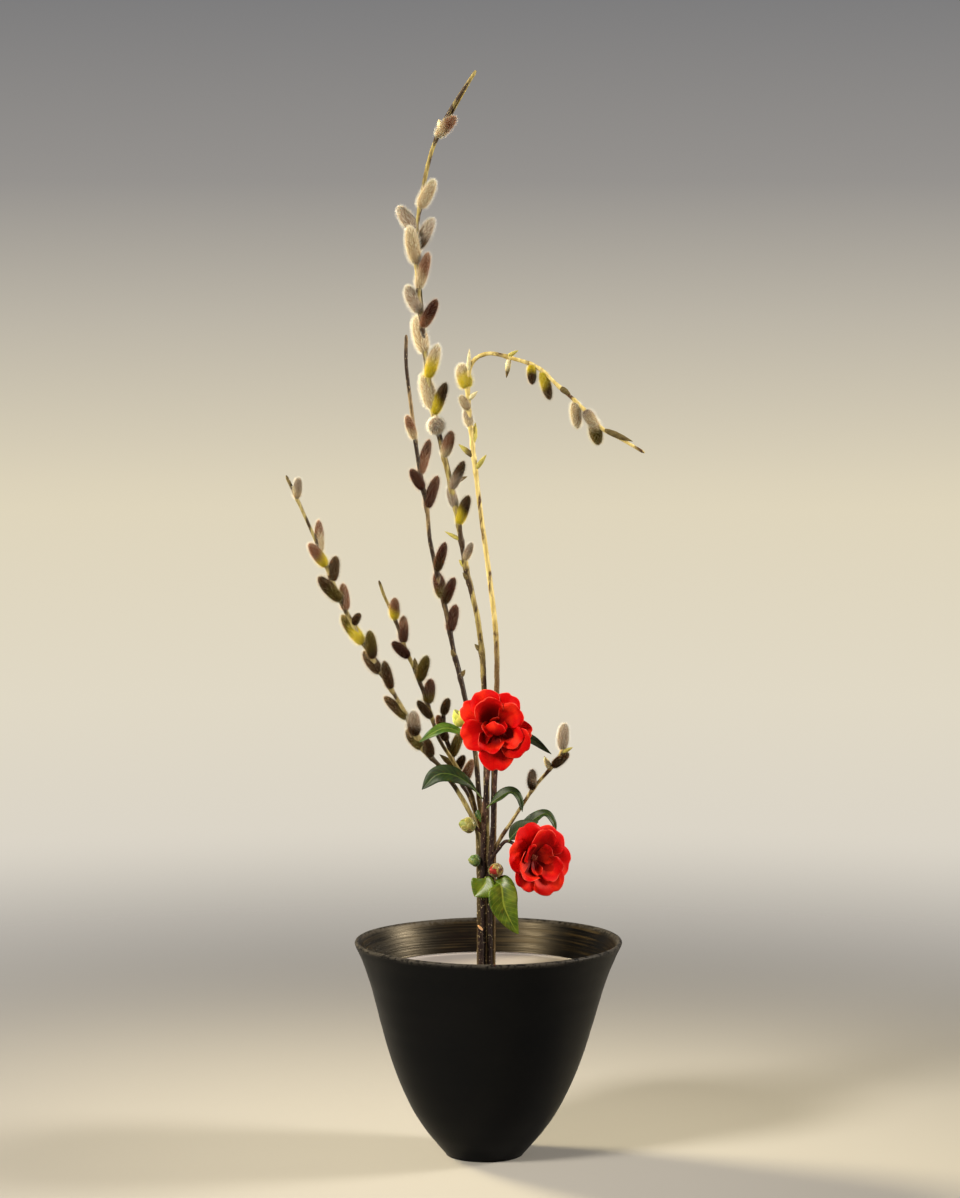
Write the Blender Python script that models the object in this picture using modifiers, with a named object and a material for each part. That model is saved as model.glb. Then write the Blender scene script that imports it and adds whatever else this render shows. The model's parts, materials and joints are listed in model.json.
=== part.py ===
"""Ikebana arrangement: pussy willow, two red camellias and their leaves in a dark turned vase.

Metres, +Z up. The origin is the centre of the vase's flat foot, on the surface it stands on.
The arrangement is meant to be seen from -Y, with +X to the viewer's right.
"""

import math

import bmesh
import bpy
from mathutils import Matrix, Vector

MM = 0.001

# ---------------------------------------------------------------- driving dimensions, millimetres
GAP = 0.3                     # clearance that touching pieces keep
RIM_RADIUS = 117.5
FOOT_RADIUS = 34.5
VASE_HEIGHT = 190.0
WALL = 5.0
FLOOR_THICKNESS = 10.0
WATER_LEVEL = 160.0
TURNED_STEPS = 36

HOLDER_RADIUS = 28.0          # kenzan: a heavy plate with a field of pins
HOLDER_THICKNESS = 8.0
PIN_LENGTH = 12.0
PIN_RADIUS = 0.7
PIN_PITCH = 6.5
STEM_FOOT = FLOOR_THICKNESS + HOLDER_THICKNESS + 2 * GAP

LEAF_THICKNESS = 0.8
PETAL_THICKNESS = 0.8
CALYX_RADIUS = 8.2
CALYX_DEPTH = 8.0

# Outside of the vase, from the foot up to the lip: (radius, height).
VASE_OUTSIDE = [
    (FOOT_RADIUS, 0), (42, 10), (53, 23.5), (65, 42), (76, 65), (85, 89), (92.5, 114),
    (99, 138), (105, 158), (111, 174), (RIM_RADIUS, VASE_HEIGHT - 2),
]

# ---------------------------------------------------------------- stems, millimetres
# Each willow: the points its stem grows through, foot first, and its radii at foot and tip.
WILLOWS = {
    "willow_tall": (
        [(-1, -1, STEM_FOOT), (-1, -1, 180), (0, -1, 313), (-2, 4, 408), (-7, 6, 467),
         (-18, 8, 517), (-27, 7, 569), (-40, 6, 626), (-48, 6, 663), (-54, 5, 710),
         (-59, 4, 758), (-61, 2, 801), (-57, 1, 832), (-50, -1, 867), (-40, -3, 895),
         (-27, -4, 918), (-9, -6, 945)],
        2.5, 1.0),
    "willow_second": (
        [(-6, 7, STEM_FOOT), (-6, 7, 180), (-5, 8, 288), (-7, 10, 319), (-10, 12, 355),
         (-19, 16, 402), (-28, 20, 439), (-37, 21, 484), (-49, 22, 537), (-52, 23, 566),
         (-59, 23, 604), (-66, 24, 658), (-70, 25, 693), (-70, 26, 719)],
        2.2, 1.0),
    "willow_bent": (
        [(5, 3, STEM_FOOT), (5, 3, 180), (6, 3, 278), (7, 3, 357), (9, 2, 419), (8, 2, 461),
         (2, 1, 513), (-6, 1, 572), (-13, 0, 631), (-16, -1, 663), (-16, -2, 684),
         (-10, -3, 698), (3, -4, 703), (22, -6, 699), (44, -8, 691), (63, -11, 674),
         (80, -14, 659), (99, -17, 639), (117, -19, 629), (136, -22, 618)],
        2.6, 0.8),
    "willow_left": (
        [(-6, -5, STEM_FOOT), (-6, -5, 180), (-7, -5, 270), (-9, -6, 290), (-20, -8, 314),
         (-39, -12, 343), (-57, -16, 363), (-72, -18, 395), (-90, -21, 425), (-109, -23, 458),
         (-126, -26, 491), (-143, -28, 533), (-154, -30, 559), (-172, -34, 599)],
        2.2, 0.8),
    "willow_inner": (
        [(-6, 1, STEM_FOOT), (-6, 1, 180), (-6, 1, 270), (-9, 2, 300), (-15, 3, 323),
         (-29, 5, 347), (-42, 6, 368), (-51, 8, 396), (-61, 9, 423), (-71, 10, 446),
         (-80, 12, 471), (-89, 13, 491), (-94, 14, 505)],
        2.0, 0.8),
    "willow_short": (
        [(-4, 13, STEM_FOOT), (-4, 13, 180), (-4, 13, 268), (-8, 14, 294), (-16, 16, 316),
         (-26, 18, 333), (-31, 19, 351), (-36, 21, 368), (-38, 22, 388)],
        2.0, 1.0),
    "willow_right": (
        [(6, -4, STEM_FOOT), (6, -4, 180), (6, -5, 250), (7, -7, 268), (13, -9, 283),
         (21, -11, 295), (33, -12, 314), (38, -14, 322), (47, -16, 334), (59, -18, 348),
         (65, -20, 358), (68, -22, 369)],
        1.6, 0.8),
}

# Catkins and buds of each willow: (distance along the stem, lean from upright towards +X in
# degrees, length, width, and optionally the angle by which it points towards the viewer).
CATKINS = {
    "willow_tall": [
        (878, 40, 24, 8.7), (886, -10, 8, 5), (815, 28, 28, 9.5), (796, -41, 26, 10.4),
        (767, -12, 34, 10.4), (779, 29, 32, 9.5), (745, 13, 33, 8.7), (725, -30, 26, 10.4),
        (712, 28, 28, 8.7), (690, -17, 34, 10.8), (668, 14, 31, 9.5), (641, -15, 32, 11.3),
        (636, 18, 30, 8.7), (622, 0, 16, 11, 75), (598, 17, 24, 8.7), (553, -18, 21, 7.8),
        (569, 21, 28, 7.8), (575, 70, 16, 5), (538, 16, 27, 8.7), (524, -62, 16, 3.5),
        (506, 22, 18, 6), (500, -43, 9, 4.3), (488, -35, 9, 4.3), (425, -43, 9, 4.3)],
    "willow_second": [
        (615, -21, 23, 7), (584, 13, 32, 7.8), (571, -30, 21, 8.2), (554, 16, 30, 8.7),
        (498, 14, 28, 7.8), (474, -14, 24, 9.5), (469, 18, 25, 8.2), (444, 10, 24, 8.7),
        (421, -26, 8, 4.3), (403, 35, 8, 4.3)],
    "willow_bent": [
        (669, 2, 21, 3.5), (656, -19, 22, 11.3), (637, -30, 15, 7), (622, -16, 18, 7),
        (646, 48, 11, 4.3), (607, 8, 19, 6), (585, 36, 16, 4.3), (596, -50, 17, 5),
        (712, 60, 11, 3.5), (714, -172, 18, 4.5), (734, 178, 17, 7), (745, 166, 26, 8),
        (766, 124, 11, 5.2), (784, 178, 25, 8.7), (795, 145, 17, 9), (805, 164, 23, 10),
        (818, 112, 27, 5.2)],
    "willow_left": [
        (602, 3, 19, 7), (551, -6, 28, 7), (538, -35, 25, 8.7), (524, 4, 22, 8.7),
        (506, -43, 29, 9.5), (496, -6, 24, 7.8), (482, 24, 12, 6), (463, -40, 31, 9.5),
        (448, -5, 26, 8.7), (434, -43, 24, 9.5), (417, -15, 26, 7.8), (387, -47, 28, 7.8),
        (371, -8, 23, 10.4), (358, -45, 21, 9), (347, -12, 18, 7.8)],
    "willow_inner": [
        (468, -4, 20, 8), (446, -2, 24, 8), (433, -46, 20, 8.2), (419, -4, 12, 5.2),
        (410, 14, 25, 8.7), (389, 8, 22, 9), (376, -42, 20, 7)],
    "willow_short": [
        (374, 12, 16, 7), (360, -30, 15, 7), (351, -24, 16, 7), (336, 18, 25, 7.8),
        (322, 22, 18, 7), (310, 24, 24, 7.8), (328, -50, 16, 5.2)],
    "willow_right": [
        (316, -4, 19, 7.4), (340, -23, 12, 5.2), (343, 50, 19, 7), (361, 2, 23, 8.7),
        (358, 62, 11, 3.5)],
}
CATKIN_TILTS = (14, -16, 9, -11)      # turned a little to and from the viewer in turn

# Camellia wood: the main stem's points and radii, then each side twig's.
CAMELLIAS = {
    "camellia_stem_upper": [
        ([(-3, -12, STEM_FOOT), (-3, -12, 180), (-3, -12, 265), (-2, -12, 300), (1, -12.5, 340),
          (6, -13, 370), (9.5, -16, 381.5), (9.35, -20.8, 382.2)], 2.7, 1.9),
        ([(2, -13, 347), (-8, -19, 362), (-15, -21.5, 371), (-19.8, -22.5, 381)], 1.1, 0.9),
        ([(-3, -12, 286), (-6, -13, 288.5), (-9.3, -14.2, 292)], 1.3, 1.1)],
    "camellia_stem_lower": [
        ([(3, -12, STEM_FOOT), (3, -12, 180), (3, -12, 255), (6, -10, 300), (8, -9, 345),
          (9, -9, 356)], 2.7, 1.7),
        ([(3, -12, 262), (9, -14, 271), (17, -16, 280), (26, -17.5, 276), (33, -20.2, 267.6),
          (35.8, -24.7, 267.3)], 1.7, 1.5),
        ([(3, -12, 251), (8, -13, 252), (10.8, -14.4, 253.7)], 1.3, 1.1)],
    "cut_stub": [
        ([(-1, -19, STEM_FOOT), (-2.5, -18.5, 90), (-5.5, -17.5, 207)], 2.6, 2.4)],
}

# Leaves: (midrib points from the stalk's end to the tip, greatest width, fold in degrees,
# and the direction that its upper face looks).
LEAVES = {
    "leaf_upper_left": (
        [(-16.3, -23.4, 371.2), (-24, -26, 377), (-36, -26.5, 380), (-48, -27, 375),
         (-58, -28, 368)], 8, 25, (0.1, -0.6, 0.8)),
    "leaf_middle_left": (
        [(-3.6, -13.6, 317), (-16, -18, 331), (-31, -20, 339), (-44, -21, 338),
         (-56, -22, 326)], 15, 22, (-0.1, -0.85, 0.5)),
    "leaf_middle_right": (
        [(0.2, -15, 309), (9, -18.5, 317), (21, -21, 323.5), (28, -23, 318),
         (31, -24, 307)], 13, 28, (0.2, -0.5, 0.85)),
    "leaf_behind_upper": (
        [(11.2, -10.2, 354), (22, -17, 366), (37, -20, 370), (56, -22, 357)],
        8, 20, (0.2, -0.8, 0.6)),
    "leaf_broad_lower": (
        [(19, -18.3, 281), (20, -21, 289), (28, -23, 296), (43, -24, 299)],
        15, 20, (-0.3, -0.85, 0.4)),
    "leaf_arched_lower": (
        [(27.5, -15.2, 277), (34, -15, 292), (44, -17, 301), (52, -19, 304), (58, -20.5, 297),
         (60, -21.5, 288)], 9, 30, (0.2, -0.5, 0.85)),
    "leaf_low_left": (
        [(-1.4, -14.6, 248), (0, -17, 247.5), (-2, -18.5, 242), (-10.5, -20, 232)],
        18, 18, (-0.2, -0.9, 0.3)),
    "leaf_low_right": (
        [(5.4, -13.3, 244.5), (10, -21, 244.5), (13, -26.5, 241), (15, -29.5, 226), (21, -31.5, 212),
         (27.5, -32, 201)], 22, 24, (0.1, -0.95, 0.2)),
    "leaf_small": (
        [(-4.9, -13.2, 299), (-8, -16, 305), (-5, -18.5, 297)], 5, 20, (-0.4, -0.8, 0.4)),
}

# Buds: (centre of the base, direction of the tip, length, width).
BUDS = {
    "bud_pale": ((-20.1, -22.7, 381.6), (-0.45, -0.2, 0.85), 13.5, 10.5),
    "bud_left": ((-9.9, -14.5, 292.5), (-0.93, -0.25, 0.25), 15, 13.2),
    "bud_front": ((11.6, -15.8, 254.4), (-0.55, -0.82, 0.12), 15, 12),
    "bud_folded": ((-5.6, -12.8, 262), (-0.95, -0.25, 0.15), 11, 10),
}


class Whorl:
    """One ring of petals: they start on the calyx and curl from one angle to another."""

    def __init__(self, start, from_axis, to_axis, petals):
        self.start = start            # distance of the petals' bases from the flower's axis
        self.from_axis = from_axis    # angle of the petal to the axis at its base
        self.to_axis = to_axis        # and at its tip
        self.petals = petals          # (azimuth in degrees, length, greatest half width)


FLOWERS = {
    "upper_flower": {
        "seat": (9.0, -29.0, 383.0),
        "faces": (-0.04, -0.99, 0.1),
        "whorls": [
            Whorl(6.9, 82, 48, [(112, 29, 14), (62, 27, 13), (4, 27, 9), (-44, 30, 13),
                                (-92, 34, 14), (196, 29, 14), (152, 29, 12)]),
            Whorl(4.9, 58, 20, [(100, 22, 14), (20, 21, 12), (-55, 22, 11), (-120, 23, 11),
                                (178, 22, 12)]),
            Whorl(3.1, 32, 2, [(70, 14, 6), (190, 14, 6), (-50, 14, 6)]),
        ],
    },
    "lower_flower": {
        "seat": (40.2, -31.8, 268.0),
        "faces": (0.52, -0.85, 0.08),
        "whorls": [
            Whorl(6.9, 80, 40, [(120, 27, 14), (68, 27, 14), (15, 27, 14), (-38, 29, 14),
                                (-92, 30, 14), (178, 29, 15)]),
            Whorl(4.9, 56, 14, [(84, 24, 14), (2, 22, 14), (-80, 22, 13), (172, 23, 13)]),
            Whorl(3.1, 32, 2, [(30, 13, 6), (150, 13, 6)]),
        ],
    },
}

COLOURS = {                    # base colour, roughness, metallic
    "glaze": ((0.010, 0.011, 0.013), 0.45, 0.0),
    "water": ((0.55, 0.52, 0.48), 0.05, 0.0),
    "lead": ((0.16, 0.16, 0.17), 0.55, 0.9),
    "willow": ((0.22, 0.15, 0.05), 0.65, 0.0),
    "wood": ((0.055, 0.028, 0.018), 0.75, 0.0),
    "leaf": ((0.06, 0.13, 0.02), 0.35, 0.0),
    "bud": ((0.28, 0.26, 0.07), 0.5, 0.0),
    "petal": ((0.75, 0.01, 0.01), 0.45, 0.0),
    "stamen": ((0.85, 0.45, 0.06), 0.6, 0.0),
}


# ---------------------------------------------------------------- helpers
def clear_scene():
    for obj in list(bpy.data.objects):
        bpy.data.objects.remove(obj, do_unlink=True)


def new_collection(name):
    collection = bpy.data.collections.new(name)
    bpy.context.scene.collection.children.link(collection)
    return collection


def make_material(name):
    colour, roughness, metallic = COLOURS[name]
    material = bpy.data.materials.new(name)
    material.use_nodes = True
    shader = material.node_tree.nodes["Principled BSDF"]
    shader.inputs["Base Color"].default_value = (*colour, 1.0)
    shader.inputs["Roughness"].default_value = roughness
    shader.inputs["Metallic"].default_value = metallic
    return material


def object_from(bm, name, material):
    mesh = bpy.data.meshes.new(name)
    bm.to_mesh(mesh)
    bm.free()
    mesh.shade_smooth()
    mesh.materials.append(material)
    obj = bpy.data.objects.new(name, mesh)
    PIECES.objects.link(obj)
    return obj


def as_cutter(obj):
    PIECES.objects.unlink(obj)
    CUTTERS.objects.link(obj)
    obj.hide_render = True
    obj.display_type = "WIRE"
    return obj


def add_boolean(obj, other, operation, overlapping_cutter=False):
    boolean = obj.modifiers.new(operation.title(), "BOOLEAN")
    boolean.operation = operation
    boolean.object = other
    boolean.use_self = overlapping_cutter


def smooth_points(points, spacing):
    """Points in metres on the smooth curve through points, about spacing millimetres apart."""
    knots = [Vector(point) for point in points]
    knots = [2 * knots[0] - knots[1], *knots, 2 * knots[-1] - knots[-2]]
    found = []
    for a, b, c, d in zip(knots, knots[1:], knots[2:], knots[3:]):
        count = max(1, round((c - b).length / spacing))
        for step in range(count):
            t = step / count
            found.append(0.5 * (2 * b + (c - a) * t + (2 * a - 5 * b + 4 * c - d) * t * t
                                + (3 * b - a - 3 * c + d) * t ** 3))
    found.append(knots[-2])
    return [point * MM for point in found]


def place_on(points, distance):
    """The point that lies distance metres along the line through points."""
    for start, end in zip(points, points[1:]):
        step = (end - start).length
        if distance <= step:
            return start.lerp(end, distance / step)
        distance -= step
    return points[-1]


def turn_to(direction):
    """A rotation that takes +Z to direction."""
    return Vector((0, 0, 1)).rotation_difference(Vector(direction)).to_matrix().to_4x4()


def tube(name, points, radius_start, radius_end, material):
    """A tapering round tube through points, in metres, made a mesh with welded caps."""
    curve = bpy.data.curves.new(name, "CURVE")
    curve.dimensions = "3D"
    curve.bevel_depth = MM
    curve.bevel_resolution = 1
    curve.use_fill_caps = True
    spline = curve.splines.new("POLY")
    spline.points.add(len(points) - 1)
    for index, (target, point) in enumerate(zip(spline.points, points)):
        share = index / (len(points) - 1)
        target.co = (*point, 1)
        target.radius = radius_start + (radius_end - radius_start) * share
    guide = bpy.data.objects.new(name + "_guide", curve)
    PIECES.objects.link(guide)
    graph = bpy.context.evaluated_depsgraph_get()
    mesh = bpy.data.meshes.new_from_object(guide.evaluated_get(graph))
    bm = bmesh.new()
    bm.from_mesh(mesh)
    bmesh.ops.remove_doubles(bm, verts=bm.verts, dist=1e-6)
    bmesh.ops.recalc_face_normals(bm, faces=bm.faces)
    obj = object_from(bm, name, material)
    obj.matrix_world = guide.matrix_world
    bpy.data.objects.remove(guide, do_unlink=True)
    bpy.data.meshes.remove(mesh)
    return obj


def add_rod(bm, start, end, radius, end_radius, sides):
    """A closed cone frustum between two points in millimetres."""
    start, end = Vector(start) * MM, Vector(end) * MM
    placed = Matrix.Translation((start + end) / 2) @ turn_to(end - start)
    bmesh.ops.create_cone(bm, cap_ends=True, segments=sides, radius1=radius * MM,
                          radius2=end_radius * MM, depth=(end - start).length, matrix=placed)


def turned(name, profile, material, steps=TURNED_STEPS):
    """A solid of revolution about Z from (radius, height) points in millimetres."""
    bm = bmesh.new()
    verts = [bm.verts.new((radius * MM, 0, height * MM)) for radius, height in profile]
    for first, second in zip(verts, verts[1:]):
        bm.edges.new((first, second))
    obj = object_from(bm, name, material)
    screw = obj.modifiers.new("Turn", "SCREW")
    screw.steps = screw.render_steps = steps
    screw.use_merge_vertices = True
    screw.merge_threshold = 0.00001
    return obj


# ---------------------------------------------------------------- vase, water and pin holder
def wall_inside(clearance=0.0):
    """The vase's inner wall from the floor up to the lip: (radius, height)."""
    low = FLOOR_THICKNESS
    rows = [(34 - clearance, low)]
    for radius, height in VASE_OUTSIDE[2:-1]:
        rows.append((radius - WALL - clearance, height))
    return rows


def make_vase():
    inside = wall_inside()
    lip = [(RIM_RADIUS - 4.5, VASE_HEIGHT - 2.5), (RIM_RADIUS - 3, VASE_HEIGHT),
           (RIM_RADIUS - 1, VASE_HEIGHT)]
    profile = [(0, FLOOR_THICKNESS), *inside, *lip, *reversed(VASE_OUTSIDE), (0, 0)]
    return turned("vase", profile, MATERIALS["glaze"])


def stem_rods():
    """Foot position, upper position and radius of every stem in the water."""
    rods = [(points[0], points[1], radius) for points, radius, _ in WILLOWS.values()]
    for stems in CAMELLIAS.values():
        points, radius, _ = stems[0]
        rods.append((points[0], points[-1] if len(points) == 3 else points[1], radius))
    return rods


def make_water():
    inside = [row for row in wall_inside(GAP) if row[1] < WATER_LEVEL - 1]
    low, high = wall_inside(GAP)[-3], wall_inside(GAP)[-2]
    share = (WATER_LEVEL - low[1]) / (high[1] - low[1])
    edge = low[0] + (high[0] - low[0]) * share
    inside[0] = (inside[0][0], FLOOR_THICKNESS + GAP)
    profile = [(0, WATER_LEVEL), (edge, WATER_LEVEL), *reversed(inside), (0, inside[0][1])]
    water = turned("water", profile, MATERIALS["water"])
    bm = bmesh.new()
    holder_top = FLOOR_THICKNESS + HOLDER_THICKNESS + PIN_LENGTH + 2 * GAP
    add_rod(bm, (0, 0, FLOOR_THICKNESS - 5), (0, 0, holder_top + GAP),
            HOLDER_RADIUS + GAP, HOLDER_RADIUS + GAP, 24)
    for foot, top, radius in stem_rods():
        foot, top = Vector(foot), Vector(top)
        direction = (top - foot).normalized()
        start = foot - direction * 2
        end = start + direction * (WATER_LEVEL + 12)
        add_rod(bm, start, end, radius + 0.6, radius + 0.6, 10)
    sleeves = as_cutter(object_from(bm, "water_sleeves", MATERIALS["water"]))
    add_boolean(water, sleeves, "DIFFERENCE", overlapping_cutter=True)
    return water


def make_pin_holder():
    base = FLOOR_THICKNESS + GAP
    top = base + HOLDER_THICKNESS
    bm = bmesh.new()
    add_rod(bm, (0, 0, base), (0, 0, top), HOLDER_RADIUS, HOLDER_RADIUS - 1, 24)
    holder = object_from(bm, "pin_holder", MATERIALS["lead"])
    bm = bmesh.new()
    reach = HOLDER_RADIUS - 3
    rows = range(-int(reach / PIN_PITCH) - 1, int(reach / PIN_PITCH) + 2)
    feet = [(Vector(foot).xy, radius) for foot, _, radius in stem_rods()]
    for row in rows:
        for column in rows:
            spot = Vector(((row + 0.5) * PIN_PITCH, (column + 0.5) * PIN_PITCH))
            if spot.length > reach:
                continue
            if any((spot - foot).length < radius + PIN_RADIUS + 2 * GAP for foot, radius in feet):
                continue
            add_rod(bm, (*spot, top - 1), (*spot, top + PIN_LENGTH), PIN_RADIUS, 0.1, 4)
    pins = as_cutter(object_from(bm, "holder_pins", MATERIALS["lead"]))
    add_boolean(holder, pins, "UNION")
    return holder


# ---------------------------------------------------------------- willow and camellia wood
def add_catkin(bm, base, direction, length, width):
    """A pointed oval on base, in metres, with its size in millimetres."""
    stretch = Matrix.Diagonal((width / 2 * MM, width / 2 * MM, length / 2 * MM, 1))
    lift = Matrix.Translation((0, 0, length / 2 * MM))
    placed = Matrix.Translation(base) @ turn_to(direction) @ lift @ stretch
    bmesh.ops.create_uvsphere(bm, u_segments=5, v_segments=4, radius=1, matrix=placed)


def make_willow(name):
    route, radius_start, radius_end = WILLOWS[name]
    points = smooth_points(route, 22)
    stem = tube(name, points, radius_start, radius_end, MATERIALS["willow"])
    bm = bmesh.new()
    for index, (distance, lean, length, width, *toward) in enumerate(CATKINS[name]):
        tilt = math.radians(toward[0] if toward else CATKIN_TILTS[index % len(CATKIN_TILTS)])
        lean = math.radians(lean)
        direction = Vector((math.sin(lean) * math.cos(tilt), -math.sin(tilt),
                            math.cos(lean) * math.cos(tilt)))
        add_catkin(bm, place_on(points, distance * MM), direction, length, width)
    catkins = as_cutter(object_from(bm, name + "_catkins", MATERIALS["willow"]))
    add_boolean(stem, catkins, "UNION", overlapping_cutter=True)
    return stem


def make_camellia(name):
    (route, start, end), *twigs = CAMELLIAS[name]
    stem = tube(name, smooth_points(route, 25), start, end, MATERIALS["wood"])
    for index, (twig_route, twig_start, twig_end) in enumerate(twigs):
        twig = tube(f"{name}_twig_{index}", smooth_points(twig_route, 5), twig_start,
                    twig_end, MATERIALS["wood"])
        add_boolean(stem, as_cutter(twig), "UNION")
    return stem


def make_leaf(name):
    """A folded blade on its midrib: a grid drawn out along the rib, then given thickness."""
    route, width, fold, upward = LEAVES[name]
    rib = smooth_points(route, 2)
    length = sum((b - a).length for a, b in zip(rib, rib[1:]))
    fold = math.radians(fold)
    bm = bmesh.new()
    bmesh.ops.create_grid(bm, x_segments=2, y_segments=7, size=1)
    for vert in bm.verts:
        across, along = vert.co.x, (vert.co.y + 1) / 2
        here = place_on(rib, along * length)
        ahead = place_on(rib, min(1, along + 0.04) * length)
        behind = place_on(rib, max(0, along - 0.04) * length)
        forward = (ahead - behind).normalized()
        side = forward.cross(Vector(upward)).normalized()
        up = side.cross(forward)
        blade = max(0.0, (along - 0.08) / 0.92)
        half = max(0.8, width / 2 * math.sin(math.pi * blade ** 0.8) ** 0.85)
        half *= 1 if along < 0.98 else 0.7
        vert.co = here + (side * across * math.cos(fold)
                          + up * abs(across) * math.sin(fold)) * half * MM
    leaf = object_from(bm, name, MATERIALS["leaf"])
    solid = leaf.modifiers.new("Blade", "SOLIDIFY")
    solid.thickness = LEAF_THICKNESS * MM
    solid.offset = 0
    return leaf


def make_bud(name):
    base, direction, length, width = BUDS[name]
    bm = bmesh.new()
    bmesh.ops.create_uvsphere(bm, u_segments=8, v_segments=6, radius=1)
    for vert in bm.verts:
        narrowing = 1 - 0.35 * max(0.0, vert.co.z) ** 2
        vert.co.x *= width / 2 * narrowing * MM
        vert.co.y *= width / 2 * narrowing * MM
        vert.co.z = (vert.co.z + 1) / 2 * length * MM
    bud = object_from(bm, name, MATERIALS["bud"])
    bud.matrix_world = Matrix.Translation(Vector(base) * MM) @ turn_to(direction)
    return bud


# ---------------------------------------------------------------- flowers
def flower_frame(flower):
    """Axes of a flower: local +Z out of its face, local +Y up it, local +X to the right."""
    axis = Vector(flower["faces"]).normalized()
    right = Vector((0, 0, 1)).cross(axis).normalized()
    up = axis.cross(right)
    turn = Matrix((right, up, axis)).transposed().to_4x4()
    return Matrix.Translation(Vector(flower["seat"]) * MM) @ turn


def make_petal(name, whorl, azimuth, length, half_width, half_share):
    """One petal: it starts narrow on the calyx and curls outwards in an arc, cupped across."""
    angle_start, angle_end = math.radians(whorl.from_axis), math.radians(whorl.to_axis)
    bend = angle_end - angle_start
    height = PETAL_THICKNESS / 2 + 1.2 * GAP + 0.15
    bm = bmesh.new()
    bmesh.ops.create_grid(bm, x_segments=3, y_segments=4, size=1)
    for vert in bm.verts:
        across, along = vert.co.x, (vert.co.y + 1) / 2
        angle = angle_start + bend * along
        out = whorl.start + length / bend * (math.cos(angle_start) - math.cos(angle))
        rise = height + length / bend * (math.sin(angle) - math.sin(angle_start))
        widest = half_width * math.sin(math.pi * (0.12 + 0.74 * along)) ** 0.7
        half = min(widest, out * math.tan(half_share) * 0.95 - 0.7)
        cup = 0.22 * half * across ** 2 * math.sin(math.pi / 2 * along)
        vert.co = Vector((out - cup * math.cos(angle), across * half,
                          rise + cup * math.sin(angle))) * MM
    petal = object_from(bm, name, MATERIALS["petal"])
    solid = petal.modifiers.new("Petal", "SOLIDIFY")
    solid.thickness = PETAL_THICKNESS * MM
    solid.offset = 0
    petal.matrix_world = Matrix.Rotation(math.radians(azimuth), 4, "Z")
    return petal


def half_share_of(azimuth, azimuths):
    """Half the free angle that a petal has between its neighbours, in radians."""
    others = [abs((azimuth - other + 180) % 360 - 180) for other in azimuths if other != azimuth]
    return math.radians(min(min(others), 70) / 2)


def make_flower(name):
    flower = FLOWERS[name]
    frame = flower_frame(flower)
    calyx = turned(name + "_calyx", [(0, 0), (CALYX_RADIUS, 0), (CALYX_RADIUS, -1.5),
                                     (6.2, -5), (2.6, -CALYX_DEPTH), (0, -CALYX_DEPTH)],
                   MATERIALS["bud"], steps=16)
    stamens = turned(name + "_stamens", [(0, 13), (3.2, 12.4), (3.6, 11), (2.3, 4), (2, GAP),
                                         (0, GAP)],
                     MATERIALS["stamen"], steps=12)
    calyx.matrix_world = stamens.matrix_world = frame
    count = 0
    for whorl in flower["whorls"]:
        azimuths = [azimuth for azimuth, _, _ in whorl.petals]
        for azimuth, length, half_width in whorl.petals:
            count += 1
            share = half_share_of(azimuth, azimuths)
            petal = make_petal(f"{name}_petal_{count:02d}", whorl, azimuth, length,
                               half_width, share)
            petal.matrix_world = frame @ petal.matrix_world


clear_scene()
PIECES = new_collection("ikebana arrangement")
CUTTERS = new_collection("cutters")
MATERIALS = {name: make_material(name) for name in COLOURS}

make_vase()
make_water()
make_pin_holder()
for willow_name in WILLOWS:
    make_willow(willow_name)
for camellia_name in CAMELLIAS:
    make_camellia(camellia_name)
for leaf_name in LEAVES:
    make_leaf(leaf_name)
for bud_name in BUDS:
    make_bud(bud_name)
for flower_name in FLOWERS:
    make_flower(flower_name)
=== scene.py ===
"""The looks of an ikebana arrangement: pussy willow and red camellias in a dark turned vase.

Metres, +Z up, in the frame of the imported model. Values whose names end in _mm, and the points
of routes, are millimetres. The arrangement faces -Y, with +X to the viewer's right.
"""

import json
import logging
import math
from dataclasses import dataclass
from enum import Enum
from functools import cache, partial
from typing import Callable, ClassVar, Sequence

import bmesh
import bpy
import numpy as np
from mathutils import Matrix, Vector, noise

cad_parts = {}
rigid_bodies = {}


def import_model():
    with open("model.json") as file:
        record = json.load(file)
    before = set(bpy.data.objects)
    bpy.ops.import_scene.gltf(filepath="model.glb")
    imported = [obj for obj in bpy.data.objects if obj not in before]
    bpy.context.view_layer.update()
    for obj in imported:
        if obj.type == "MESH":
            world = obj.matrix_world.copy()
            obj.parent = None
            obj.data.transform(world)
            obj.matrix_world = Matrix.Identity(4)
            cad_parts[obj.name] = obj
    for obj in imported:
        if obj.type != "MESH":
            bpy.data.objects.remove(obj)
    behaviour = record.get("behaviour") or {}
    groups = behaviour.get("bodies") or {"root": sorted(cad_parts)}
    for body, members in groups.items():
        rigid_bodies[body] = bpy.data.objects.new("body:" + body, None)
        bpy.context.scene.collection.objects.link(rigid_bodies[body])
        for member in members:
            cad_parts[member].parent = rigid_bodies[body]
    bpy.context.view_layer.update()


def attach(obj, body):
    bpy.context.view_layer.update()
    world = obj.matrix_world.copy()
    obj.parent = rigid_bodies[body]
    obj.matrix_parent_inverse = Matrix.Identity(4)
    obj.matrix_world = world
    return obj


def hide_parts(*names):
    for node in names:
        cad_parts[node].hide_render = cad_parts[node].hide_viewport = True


MM = 0.001
GOLDEN_ANGLE = math.radians(137.508)
VEIN_ROWS = 13.0        # side veins along a leaf
VEIN_SLANT = 1.9        # how many rows a side vein climbs from the rib to the edge
STEM_FOOT_MM = 18.6     # height of every stem's lower end, on the pins
BODY = "root"
Colour = tuple[float, float, float]
Point = tuple[float, float, float]
log = logging.getLogger("ikebana")

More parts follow.
